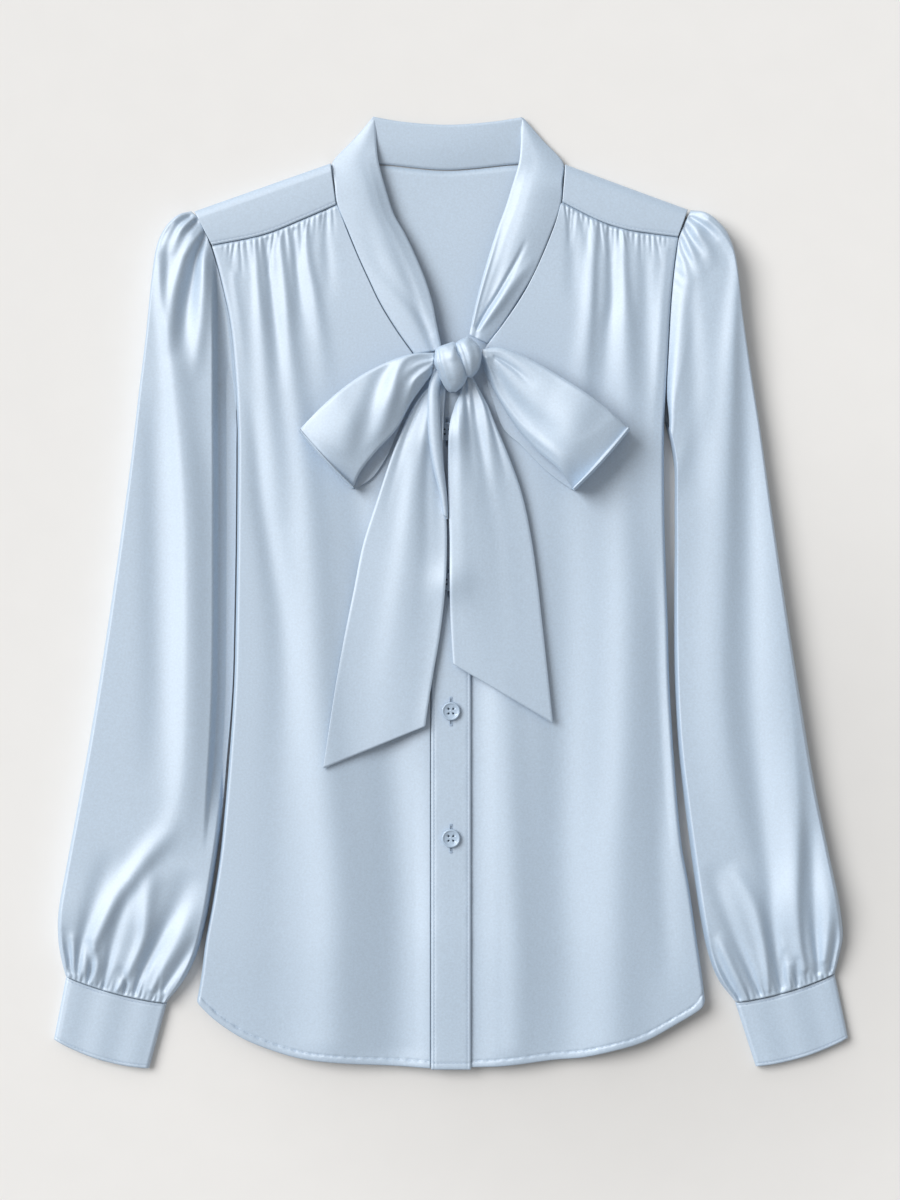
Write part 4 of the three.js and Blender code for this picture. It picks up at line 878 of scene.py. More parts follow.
@dataclass
class Front(SidedPiece):
    """A front: gathered onto the shoulder piece and rolled down to the back at the side."""

    tuck: float = 1.2

    def grids(self) -> list[Array]:
        """A patch between seam, side, hem and button band, lifted to the front's form."""
        rows = OUTLINE[self.side]
        right = self.side is Side.RIGHT
        seam_start = rows["yoke_seam"][0]
        corner = next(k for k, (_, y) in enumerate(rows["armhole"]) if y <= seam_start[1])
        band_edge = -PLACKET_HALF - SEAM if right else 1.5 - PLACKET_HALF
        neck_end = [] if right else [(PLACKET_HALF, 166)]
        lowered = [(x, y + self.tuck) for x, y in rows["yoke_seam"]]
        armhole = rows["armhole"][corner + 1 :]
        band = [(band_edge, y) for y in (157, 150, 60, HEM_LEVEL)]
        plan = coons(
            PlanCurve(lowered),
            PlanCurve([*rows["hem"][:-1], (band_edge, HEM_LEVEL)]),
            PlanCurve([lowered[0], *armhole, *rows["side"][1:]]),
            PlanCurve([lowered[-1], *rows["neckline"][1:-1], *neck_end, *band]),
            graded((14, 0.7), (50, 1.6), (520, 4.4), (16, 0.7)),
            graded((3, 0.4), (14, 1), (140, 1.2), (12, 1)),
        )
        x, y = plan[..., 0], plan[..., 1]
        return [with_depth(plan, self.surface(x, y))]

    def surface(self, x: Array, y: Array) -> Array:
        """Height of the finished front at points in plan."""
        height = front_top(x, y, self.side) + self.gathers(x, y) + self.hem(x, y)
        if self.side is Side.LEFT:
            height -= 1.5 * (1 - smoothstep(x, PLACKET_HALF + 2, PLACKET_HALF + 20))
        return height

    def stitch_lines(self) -> list[Array]:
        """The hem's row of stitches."""
        hem = offset_line(CURVES[self.side]["hem"], HEM_STITCH, 0.03, 0.985)
        return [with_depth(hem, self.surface(hem[:, 0], hem[:, 1]))]

    def gathers(self, x: Array, y: Array) -> Array:
        """Small puckers under the shoulder seam, and the dip where the cloth goes under it."""
        seam = CURVES[self.side]["yoke_seam"]
        fine = puckers(seam, (0.04 * self.side.sign, -1), 46, 7 + self.side.sign, (8, 34), 1.25)
        below = seam_level(x, self.side) - y
        inward = np.abs(EDGES[self.side].x_at(y)) - np.abs(x)
        clear = smoothstep(inward, 3, 14) * smoothstep(below, -0.5, 3.5)
        return fold_height(fine, x, y) * clear - 1.9 * (1 - smoothstep(below, -1.2, 3.2))

    def hem(self, x: Array, y: Array) -> Array:
        """The turned hem: a shallow stitched groove and a softened edge."""
        foot = CURVES[self.side]["hem"]
        up = np.where(y < -280, foot.reach(x, y), 99)
        pull = 0.5 * np.sin(x * 0.9 + 2 * np.sin(x / 17)) + 0.3 * np.sin(x * 0.43 + 1)
        band = 0.5 * smoothstep(HEM_STITCH + 0.4 - up, 0, 0.8)
        return band - 0.45 * bell(up - HEM_STITCH, 0.9) * (1 + pull) - EDGE_DROP * bell(up, 0.8)


def band_surface(x: Array, y: Array) -> Array:
    """Height of the finished button band at points in plan."""
    inward = PLACKET_HALF - np.abs(x)
    up = y - PLACKET_FOOT
    ripple = 0.12 * np.sin(y / 7.3 + np.sin(y / 19)) * bell(inward - 1.2, 2.5)
    groove = -0.25 * bell(inward - BAND_STITCH, 0.7) - 0.3 * bell(up - HEM_STITCH, 0.8)
    edge = -0.6 * bell(inward, 0.7) - EDGE_DROP * bell(up, 0.8)
    height = np.where(x < 0, front_top(x, y, Side.RIGHT), front_top(x, y, Side.LEFT)) + PLACKET_RISE
    return height + ripple + groove + edge


@dataclass
class Placket(ClothPiece):
    """The button band: a folded strip down the right front's edge, lapped over the left."""

    def grids(self) -> list[Array]:
        """A strip on the front's form, with stitched and rounded edges."""
        across = ends_crowded(34) * 2 - 1
        down = graded((8, 0.8), (484, 3), (8, 0.8))
        x = np.broadcast_to(across * (PLACKET_HALF - 0.1), (len(down), len(across)))
        y = np.broadcast_to(lerp(PLACKET_TOP, PLACKET_FOOT, down)[:, None], x.shape)
        return [with_depth(np.stack([x, y], axis=-1), band_surface(x, y))]

    def stitch_lines(self) -> list[Array]:
        """A row of stitches down each edge and one across the hem."""
        lines = []
        for x in (BAND_STITCH - PLACKET_HALF, PLACKET_HALF - BAND_STITCH):
            y = np.linspace(PLACKET_TOP - 3, PLACKET_FOOT + 1, 300)
            lines.append(np.stack([np.full(len(y), x), y], axis=-1))
        x = np.linspace(1 - PLACKET_HALF, PLACKET_HALF - 1, 40)
        lines.append(np.stack([x, np.full(len(x), PLACKET_FOOT + HEM_STITCH)], axis=-1))
        return [with_depth(line, band_surface(line[:, 0], line[:, 1])) for line in lines]


@dataclass
class Yoke(SidedPiece):
    """A shoulder piece: up from the gathered seam, over the shoulder line and under to the back."""

    def grids(self) -> list[Array]:
        """Sections from the seam over the roll to the flap."""
        share = np.linspace(0.005, 0.996, 120)
        front = CURVES[self.side]["yoke_seam"].at(share)
        edge = CURVES[self.side]["shoulder"].at(share)
        outward = edge - front
        outward /= np.linalg.norm(outward, axis=1)[:, None]
        roll_start = edge - outward * YOKE_ROLL
        radius = YOKE_TOP / 2
        columns = []
        for v in graded((3, 0.4), (20, 1.2)):
            plan = lerp(front, roll_start, v)
            reach = np.linalg.norm(plan - front, axis=1)
            height = YOKE_TOP + 0.5 * np.sin(np.pi * v * 0.8) + 0.3 - 0.5 * bell(reach, 0.7)
            height = height - 0.2 * bell(reach - 2, 0.6)
            columns.append(with_depth(plan, height))
        for turn in np.radians(np.linspace(70, -90, 17)):
            plan = roll_start + outward * YOKE_ROLL * math.cos(turn)
            columns.append(with_depth(plan, np.full(len(share), radius + radius * math.sin(turn))))
        for reach in np.linspace(0.25, 1, 4):
            plan = roll_start - outward * YOKE_FLAP * reach
            columns.append(with_depth(plan, np.zeros(len(share))))
        return [np.stack(columns, axis=1)]

    def stitch_lines(self) -> list[Array]:
        """A row of stitches just above the gathered seam."""
        line = CURVES[self.side]["yoke_seam"].at(np.linspace(0.03, 0.97, 90)) + [0, 2.0]
        return [with_depth(line, np.full(len(line), YOKE_TOP + 0.15))]


@dataclass
class CollarBack(ClothPiece):
    """The band behind the neck, lying flat."""

    def grids(self) -> list[Array]:
        """A patch between the neck seam and the band's folded top."""
        top = PlanCurve([(-57.7, 353.4), (-37.7, 349.9), (-3, 347.4), (32.6, 349.9), (52.5, 353)])
        foot = PlanCurve([(-86.5, 318.8), (-52.5, 318.4), (-3, 314.2), (48.8, 318.4), (82, 319.2)])
        along = np.linspace(0, 1, 110)
        up = ends_crowded(28)
        plan = lerp(foot.at(along)[None], top.at(along)[None], up[:, None, None])
        swell = 0.9 * np.sin(np.pi * along)[None] * np.sin(np.pi * up)[:, None]
        rise = 35 * np.minimum(up, 1 - up)[:, None]
        height = 1.9 + swell + 3 * up[:, None] - 0.7 * bell(rise, 0.8) + 0 * along[None]
        return [with_depth(plan, height)]


# Rows down each front band: outer edge, inner edge, the height of the outer edge, of the ridge and
# of the inner edge, and how deep the fold opens between ridge and inner edge
COLLAR_ROWS = {
    Side.RIGHT: [
        (-57.8, 352.4, -55.6, 352.8, 4.4, 4.8, 4.6, 0),
        (-73.3, 335.6, -55.5, 334.9, 4.4, 9, 7, 0),
        (-88.3, 318.2, -53.6, 318.6, 7, 12.5, 8.5, 0.5),
        (-86.2, 303, -48.1, 297.9, 12.2, 15, 9.5, 1),
        (-84.2, 287.5, -42.2, 280, 12.6, 16.5, 10, 1),
        (-76.4, 268.2, -34.4, 266.3, 12.6, 17, 10.5, 1.5),
        (-68.5, 249, -25.9, 248.3, 12.4, 17.5, 11.5, 2.5),
        (-60.4, 231.2, -18.9, 231.2, 12.6, 18.5, 12.5, 4),
        (-51.9, 213.5, -13.7, 214.2, 12.6, 18.5, 13, 4.5),
        (-40.1, 194.2, -10.2, 196.5, 12.6, 17.5, 13.5, 4),
        (-26.8, 175.8, -6.5, 179.4, 12.8, 16, 14, 2.5),
    ],
    Side.LEFT: [
        (54, 352.4, 51.8, 352.8, 4.4, 4.8, 4.6, 0),
        (68.6, 335.6, 51.8, 334.9, 4.4, 9, 7, 0),
        (83.2, 319.2, 50.3, 318.6, 5.5, 12.5, 8.5, 0.5),
        (82.6, 303.8, 45.1, 300.8, 10.8, 15, 9.5, 1),
        (81.6, 289.3, 40, 284.5, 11.4, 16.5, 10, 1),
        (76.4, 272.7, 34, 268.2, 12, 17, 10.5, 1.5),
        (65.3, 245.3, 28.5, 251.2, 12.4, 17.5, 11.5, 2),
        (59.3, 232.7, 24.4, 237.2, 12.6, 18, 12.5, 3.5),
        (51.9, 220, 20.7, 223.8, 12.6, 18.5, 13, 4),
        (38.6, 199.4, 16.3, 205.3, 12.6, 17.5, 13.5, 3.5),
        (26.8, 183.6, 13.6, 190.3, 12.8, 16, 14, 2),
    ],
}


# Folds on each side of the collar
COLLAR_FOLDS = {
    Side.RIGHT: [
        Fold(((-66, 288, 6, 0), (-54, 244.6, 6, -0.6), (-37.7, 223.9, 5, -1), (-24, 206, 4, -1),
              (-15.5, 192, 3, -0.5))),
    ],
    Side.LEFT: [
        Fold(((56, 262, 2, 0), (50.5, 249.8, 1.8, -1.2), (42, 234, 1.8, -2), (34, 220, 1.7, -2.4),
              (26, 207.5, 1.6, -2.2), (19.5, 196, 1.4, -1.6)), lean=-0.2),
        Fold(((58, 243, 4, 0.6), (47, 230, 4, 1.8), (36.3, 214.5, 3.6, 2.2), (27, 202, 3, 1.6),
              (20.7, 194, 2, 0.6))),
        Fold(((38, 276, 1.4, 0), (31, 252, 1.5, 0.7), (25, 232, 1.5, 1), (20, 214, 1.4, 1),
              (16.4, 198, 1.2, 0.6))),
    ],
}


@dataclass
class CollarFront(SidedPiece):
    """The collar band down one side of the neckline, folded over with a long ridge."""

    swell: float = 0.5

    def grids(self) -> list[Array]:
        """Sections from the outer edge over the ridge and the trough to the inner edge."""
        rows = smooth_rows(COLLAR_ROWS[self.side], 130)
        u = ends_crowded(56)[None]
        outer_x, outer_y, inner_x, inner_y, edge, ridge, lip, trough = (rows[:, k : k + 1] for k in range(8))
        ridge = edge + (ridge - edge) * self.swell
        rise = edge + (ridge - edge) * np.sin(np.pi / 2 * np.clip(u / 0.6, 0, 1))
        drop = smoothstep(u, 0.6, 1) * 0.7 + 0.3 * np.maximum(0, u - 0.8) / 0.2
        dip = 0.3 * np.maximum(trough, 0) * bell(u - 0.7, 0.13)
        width = np.hypot(outer_x - inner_x, outer_y - inner_y)
        rim = 0.6 * bell(width * (1 - u), 0.8) + 0.5 * bell(width * u, 0.6)
        plan = np.stack([lerp(outer_x, inner_x, u), lerp(outer_y, inner_y, u)], axis=-1)
        small = fold_height(COLLAR_FOLDS[self.side], plan[..., 0], plan[..., 1])
        height = rise - np.maximum(ridge - lip, 0.4) * drop - dip - rim + small
        return [with_depth(plan, height)]


# Rows of sleeve sections: outer x and y, inner x and y, crown height, how much of the armhole's
# curve it follows, width of the roll at the outer and the inner end, and how far the section
# bows towards the hand
SLEEVE_ROWS = {
    Side.RIGHT: [
        (-192.9, 283.3, -159.4, 121.3, 12, 1, 3, 2.3, 0),
        (-202, 280.8, -159.4, 118.5, 16, 0.93, 3, 2.3, 0),
        (-211.6, 271.9, -159.4, 115, 17, 0.8, 3.4, 2.3, 0),
        (-218.6, 257, -159.4, 110.6, 17, 0.63, 3.4, 2.3, 0),
        (-222.5, 231.2, -159.4, 104, 17, 0.42, 3.4, 2.3, 0),
        (-226.6, 190.6, -159.4, 90.7, 17, 0.22, 3.4, 2.3, 0),
        (-231.8, 148.4, -159.5, 68.5, 16, 0.1, 3.4, 2.3, 0),
        (-237.8, 96.6, -159.8, 35.1, 15.5, 0, 3.4, 2.3, 0),
        (-246.6, 31.4, -160.6, -12.9, 15, 0, 3.4, 2.3, 0),
        (-256.9, -38.9, -162.2, -72.2, 15, 0, 3.4, 2.6, 0),
        (-267.2, -103, -166.6, -126, 15, 0, 3.4, 3.2, 0),
        (-277.4, -160, -171.2, -176, 15, 0, 3.4, 3.2, 0),
        (-286, -206, -176.4, -213, 15, 0, 3.4, 3.5, 0),
        (-291.3, -236, -181.6, -243, 16, 0, 3.9, 3.5, 0),
        (-291.6, -257, -189, -269, 14, 0, 4.5, 3.5, 1),
        (-289.3, -272, -198.6, -288, 12, 0, 4.5, 3.2, 2),
        (-286, -284.5, -211.3, -304.5, 8.6, 0, 3, 2, 2.8),
    ],
    Side.LEFT: [
        (178, 284, 159.2, 121.3, 12, 1, 3, 2.3, 0),
        (188.3, 282.7, 159.6, 118, 16, 0.93, 3, 2.3, 0),
        (198.3, 275.8, 160.4, 113.6, 17, 0.8, 3.4, 2.6, 0),
        (206.5, 264.6, 161.5, 108, 17, 0.63, 3.4, 2.8, 0),
        (212, 244.6, 162.9, 100.3, 17, 0.42, 3.4, 3, 0),
        (216.6, 206, 164.6, 87, 17, 0.22, 3.4, 3.2, 0),
        (223, 163, 165.8, 66.2, 16, 0.1, 3.4, 2.8, 0),
        (230.1, 118, 166, 35.1, 15.5, 0, 3.4, 2.8, 0),
        (238.3, 60, 165.6, -5.5, 15, 0, 3.4, 2.8, 0),
        (247.9, -5.5, 165.9, -57.4, 15, 0, 3.4, 2.8, 0),
        (258.3, -72.2, 168.4, -109.2, 15, 0, 3.4, 2.8, 0),
        (269.2, -138.8, 173.6, -158, 15, 0, 3.4, 3.2, 0),
        (279.8, -190, 179.4, -202, 15, 0, 3.4, 3.5, 0),
        (287.4, -226, 184.6, -238, 16, 0, 3.9, 3.5, 0),
        (291, -252, 190.4, -266, 14, 0, 4.5, 3.5, 1),
        (288.6, -268, 198.4, -287, 12, 0, 4.5, 3.2, 2.2),
        (285, -282.3, 211.2, -303.8, 8.6, 0, 3, 2, 3.2),
    ],
}


@dataclass
class Sleeve(SidedPiece):
    """A sleeve: a gathered head, a full arm and gathers into the cuff."""

    rows: int = 230
    columns: int = 120
    under: int = 36
    panel_height: float = 9.6
    panel_slant: float = 0.5
    seam_rise: float = 14.0
    underarm_rise: float = 5.0
    parting: float = 2.6

    def grids(self) -> list[Array]:
        """Rings from the armhole to the cuff seam."""
        armhole = CURVES[self.side]["armhole"]
        table = smooth_rows(SLEEVE_ROWS[self.side], self.rows)
        outer, inner = table[:, 0:2][:, None], table[:, 2:4][:, None]
        crown, curve, roll_out, roll_in, sag = (table[:, k : k + 1] for k in range(4, 9))
        width = np.linalg.norm(outer - inner, axis=2)
        start = np.asarray(SLEEVE_ROWS[self.side][0][:4])
        down = np.stack([inner[..., 1] - outer[..., 1], outer[..., 0] - inner[..., 0]], axis=-1)
        down /= np.linalg.norm(down, axis=2)[..., None]
        down *= -np.sign(down[..., 1:2])

        def plan(w: Array) -> Array:
            """Places shares across each section in plan."""
            seam = armhole.at(w) + [start[0] - armhole.at(0)[0], 0]
            sway = seam - lerp(start[0:2], start[2:4], w[:, None])
            bowed = down * (sag * 4 * w * (1 - w))[..., None]
            straight = lerp(outer, inner, w[None, :, None])
            return straight + bowed + np.maximum(curve, 0)[..., None] * sway[None]

        w = ends_crowded(self.columns)
        upper = plan(w)
        from_outer, from_inner = w * width, (1 - w) * width
        level = upper[..., 1]
        if self.side is Side.LEFT:
            parted = smoothstep(level, 162, 121) * smoothstep(level, 58, 112)
            parted *= smoothstep(from_inner, 40, 4)
            upper[..., 0] += self.parting * parted
        x, y = upper[..., 0], upper[..., 1]
        rolls = quarter_round(from_outer / roll_out) * quarter_round(from_inner / roll_in)
        arm = crown * rolls
        puffed = arm + fold_height(self.folds(), x, y) * rolls
        if self.side is Side.RIGHT:
            low = self.panel_height * quarter_round(from_inner / roll_in)
            low -= self.panel_slant * (x - PANEL_CREASE.x_at(y))
            puffed = lerp(puffed, np.minimum(puffed, low), pressed_share(x, y))
        seam_height = armhole_height(y) * quarter_round(from_outer / YOKE_ROLL)
        rise = lerp(self.underarm_rise, self.seam_rise, smoothstep(y, UNDERARM, UNDERARM + 80))
        height = lerp(seam_height, puffed, quarter_round(armhole.reach(x, y) / rise))
        top = with_depth(upper, np.maximum(height, FOLD_EDGE))
        lower = plan(np.linspace(0.966, 0.034, self.under))
        return [np.concatenate([top, with_depth(lower, np.zeros(lower.shape[:2]) + 0.05)], axis=1)]

    def folds(self) -> list[Fold]:
        """The main folds, with small gathers at the head and along the cuff."""
        sign = self.side.sign
        rows = SLEEVE_ROWS[self.side]
        cuff_seam = PlanCurve([rows[-1][0:2], rows[-1][2:4]])
        head = PlanCurve([(0.99 * x, y) for x, y in OUTLINE[self.side]["armhole"][:5]])
        cuff = puckers(cuff_seam, (-0.3 * sign, 1), 38, 21 + sign, (7, 24), 1.3)
        cap = puckers(head, (0.7 * sign, -0.7), 16, 31 + sign, (7, 18), 1.0)
        return [*SLEEVE_FOLDS[self.side], *cuff, *cap]


def bowed_line(ends: Array, bow: float, share: Array, run: Array) -> Array:
    """A line in plan between two ends, bowed towards the hand.

    Args:
        ends: its two end points.
        bow: how far its middle stands out.
        share: where the points lie along it, from 0 to 1.
        run: the direction that the bow is square to.

    Returns:
        The points, one a row.
    """
    down = np.array([run[1], -run[0]]) / np.linalg.norm(run)
    down *= -np.sign(down[1])
    return lerp(ends[0], ends[1], share[:, None]) + down * (bow * 4 * share * (1 - share))[:, None]


@dataclass
class Cuff(ClothPiece):
    """A closed cuff lying flat: a folded band, stitched along its seam."""

    seam: tuple[Point, Point] = ((0, 0), (1, 0))
    edge: tuple[Point, Point] = ((0, 0), (1, 0))
    bow: Pair = (3, 4)
    top: float = 6.6
    roll: float = 3.4

    def grids(self) -> list[Array]:
        """Rings from the sleeve seam to the cuff's edge."""
        seam, edge = np.asarray(self.seam, float), np.asarray(self.edge, float)
        width = float(np.linalg.norm(seam[1] - seam[0]))
        turns = np.radians(np.linspace(180, 90, 12))
        roll_w = self.roll * (1 + np.cos(turns)) / width
        roll_z = self.top / 2 * (1 + np.sin(turns))
        flat_w = np.linspace(roll_w[-1], 1 - roll_w[-1], 60)[1:-1]
        under_w = np.concatenate([1 - roll_w[1:], flat_w[::-3], roll_w[1:][::-1]])
        w = np.concatenate([roll_w, flat_w, 1 - roll_w[::-1], under_w])
        swell = 0.5 * np.sin(np.pi * flat_w) + 0.25 * np.sin(flat_w * 17)
        lower = np.zeros(len(flat_w[::-3]))
        low_z = self.top - roll_z
        z = np.concatenate([roll_z, self.top + swell, roll_z[::-1], low_z[1:], lower, low_z[1:][::-1]])
        along = graded((4, 0.5), (36, 2), (4, 0.5))

        start = bowed_line(seam, self.bow[0], w, seam[1] - seam[0])
        finish = bowed_line(edge, self.bow[1], w, edge[1] - edge[0])
        length = float(np.linalg.norm(edge.mean(axis=0) - seam.mean(axis=0)))
        plan = lerp(start[None], finish[None], along[:, None, None])
        upper = (z > self.top * 0.6).astype(float)[None]
        reach = (along * length)[:, None]
        groove = -0.3 * bell(reach - CUFF_STITCH, 0.6) - 0.3 * bell(length - reach - CUFF_STITCH, 0.6)
        rim = -0.5 * bell(reach, 0.7) - 0.5 * bell(length - reach, 0.7)
        return [with_depth(plan, z[None] + (groove + rim) * upper)]

    def stitch_lines(self) -> list[Array]:
        """A row of stitches along the seam and another along the edge."""
        seam, edge = np.asarray(self.seam, float), np.asarray(self.edge, float)
        length = float(np.linalg.norm(edge.mean(axis=0) - seam.mean(axis=0)))
        share = np.linspace(0.06, 0.94, 60)
        lines = []
        for along in (CUFF_STITCH / length, 1 - CUFF_STITCH / length):
            bow = lerp(self.bow[0], self.bow[1], along)
            line = bowed_line(lerp(seam, edge, along), bow, share, seam[1] - seam[0])
            lines.append(with_depth(line, np.full(len(line), self.top + 0.1)))
        return lines


# The knot's two lobes: rows of level, left edge, right edge, and height of the top
KNOT_ROWS = {
    "near": [
        (184, 0, 2.4, 30), (183.2, -1.5, 3.7, 33), (181.7, -5.9, 5.2, 36), (179.5, -10.6, 6.3, 38.5),
        (175.8, -12, 8.1, 41), (172.1, -12.4, 10, 42.3), (168.4, -12.6, 11.3, 42.6),
        (164.7, -11.1, 12.1, 42.4), (161, -9.4, 12.3, 41.5), (157.3, -8, 11.8, 39.8),
        (153.6, -6.2, 10, 37), (150.6, -4.4, 7.6, 34), (148.4, -2.4, 5, 31), (147.2, -0.6, 2.8, 28),
    ],
    "far": [
        (187.8, 11.6, 12.8, 28), (187.4, 10.6, 13.7, 31), (185.4, 6.4, 16.3, 35), (182.4, 2.4, 19.2, 38),
        (179.5, 1.9, 21.3, 39.7), (175.8, 2.4, 22.3, 40.6), (172.1, 3.9, 22.6, 40.8),
        (168.4, 4.6, 21.8, 40.2), (164.7, 5.4, 20.7, 38.6), (161, 7.1, 18.5, 36), (158.6, 9.8, 16, 33),
        (157.8, 11.8, 14.4, 30),
    ],
}
# Creases of the knot
KNOT_FOLDS = {
    "near": [
        Fold(((2.6, 179.5, 2.6, 1.6), (1.8, 174, 3, 1.2), (1.4, 168, 3.4, 0))),
        Fold(((3.6, 178, 0.8, -1.8), (5.6, 175, 0.9, -2.4), (8.6, 170.5, 1, -2.6), (11, 163.5, 1, -2.4),
              (10.6, 157, 1, -1.4))),
        Fold(((-9.6, 179, 0.7, -1.2), (-8.3, 168.4, 0.8, -1.5), (-4.4, 155.8, 0.8, -1.2),
              (-1.5, 150, 0.8, -0.6))),
        Fold(((-5.4, 177, 2.4, -0.7), (-2.6, 166, 2.6, -0.9), (0.6, 155, 2.4, -0.6))),
    ],
    "far": [
        Fold(((7.2, 182, 1.2, -0.9), (11, 172, 1.3, -1), (13.6, 161, 1.4, -0.7))),
        Fold(((15, 183, 2.2, -0.8), (18, 173, 2.4, -1), (17.4, 163, 2.4, -0.7))),
    ],
}


@dataclass
class Knot(ClothPiece):
    """The knot: two turns of the band wrapped round each other."""

    base: float = 17.6

    def grids(self) -> list[Array]:
        """A ring of sections for each lobe."""
        lobes = []
        for name, rows in KNOT_ROWS.items():
            table = smooth_rows(rows, 70)
            level, left, right, top = (table[:, k : k + 1] for k in range(4))
            angle = np.linspace(0, 2 * np.pi, 72, endpoint=False)[None]
            x = (left + right) / 2 + (right - left) / 2 * np.cos(angle)
            y = level + 0 * angle
            half = (top - self.base) / 2
            share = np.sin(angle)
            z = self.base + half + half * np.sign(share) * np.abs(share) ** 0.85
            z = z + fold_height(KNOT_FOLDS[name], x, y) * np.clip(share * 2, 0, 1)
            lobes.append(np.stack([x, y, z], axis=-1))
        return lobes


# Rows of each loop from the knot outwards: top edge, lip, lip of the layer underneath, height
LOOP_ROWS = {
    Side.RIGHT: [
        (-12.2, 176, -13.9, 160.8, -13.9, 162, 30.5),
        (-28.1, 175, -28.9, 140.2, -28, 141.5, 32.5),
        (-47.4, 168.7, -40, 120.2, -39.2, 119.5, 33),
        (-70.3, 156.5, -54.8, 104, -46.5, 102, 32.2),
        (-92.5, 138.8, -66.5, 89, -58, 85, 31),
        (-112.5, 118.8, -72.5, 75.8, -72.5, 75.8, 26),
    ],
    Side.LEFT: [
        (22.8, 178.7, 23.4, 168, 23.4, 167, 27),
        (36.3, 180.2, 32, 148, 30.5, 143.5, 27.5),
        (54, 173.2, 46, 124.4, 38.5, 121.5, 29.5),
        (75, 161.2, 60, 107.5, 51.5, 109, 32.8),
        (105, 141.4, 79, 90.5, 71, 89.5, 37.8),
        (131.5, 119.5, 91, 74.8, 91, 74.8, 29),
    ],
}
# Creases of each loop of the bow
LOOP_FOLDS = {
    Side.RIGHT: [
        Fold(((-14, 175, 2, 0.98), (-25, 174.5, 2.6, 1.59), (-33, 171.5, 3.4, 1.84), (-38, 165, 4, 2.08),
              (-41, 156, 4.6, 2.2), (-43, 146, 5.4, 2.2), (-46.5, 134, 6, 2.08), (-51, 121, 6, 1.59),
              (-58, 111, 6, 0.61)), lean=0.15),
        Fold(((-46, 165, 4, -0.98), (-52, 156, 6, -2.2), (-57, 142, 7, -2.69), (-62, 124, 8, -2.45),
              (-68, 106, 8, -1.47), (-74, 92, 8, 0))),
        Fold(((-76, 150, 8, 0.4), (-88, 138, 9, 0.9), (-100, 122, 10, 1.2), (-96, 100, 9, 0.6))),
        Fold(((-15, 168, 1.6, -0.98), (-24, 163, 2.6, -1.84), (-32, 155, 3.4, -1.47),
              (-38, 140, 4, -0.61), (-42, 130, 4, 0))),
        Fold(((-14, 171.5, 1, -0.73), (-24, 169.5, 1.6, -0.61), (-32, 164, 2, 0))),
        Fold(((-16, 164, 1, 0.49), (-26, 156, 1.6, 0.73), (-31, 144, 2, 0.37), (-36, 132, 2, 0))),
    ],
    Side.LEFT: [
        Fold(((26, 172, 1.6, 1.15), (29, 161, 2.2, 1.44), (34, 148, 2.6, 1.58), (42.5, 135, 3, 1.58),
              (53.5, 121.5, 3.2, 1.44), (68, 108.5, 3.4, 1.3), (81, 97, 3.6, 0.86), (90, 84, 3.6, 0.29))),
        Fold(((31, 170, 2, -1.01), (37, 156, 4, -2.02), (45, 143, 5.4, -2.16), (56, 131, 7, -1.73),
              (70, 120, 8, -0.86), (80, 112, 8, 0))),
        Fold(((32, 173, 1, -1.01), (38, 169.6, 1.4, -1.44), (47.4, 163.2, 1.8, -1.3),
              (55, 156, 2.4, -0.58), (62, 150, 3, 0))),
        Fold(((26, 177.4, 1.6, 0.72), (38, 176, 2.6, 1.3), (52, 167.5, 4, 1.44), (66, 158, 6, 1.01),
              (80, 148, 8, 0.43))),
        Fold(((128, 130, 9, 1), (119, 112, 10, 2.4), (109, 95, 10, 2.2), (101, 82, 8, 0.8)), lean=0.2),
        Fold(((27, 170, 0.9, -0.72), (31, 163, 1.2, -0.86), (36, 155, 1.6, 0))),
    ],
}


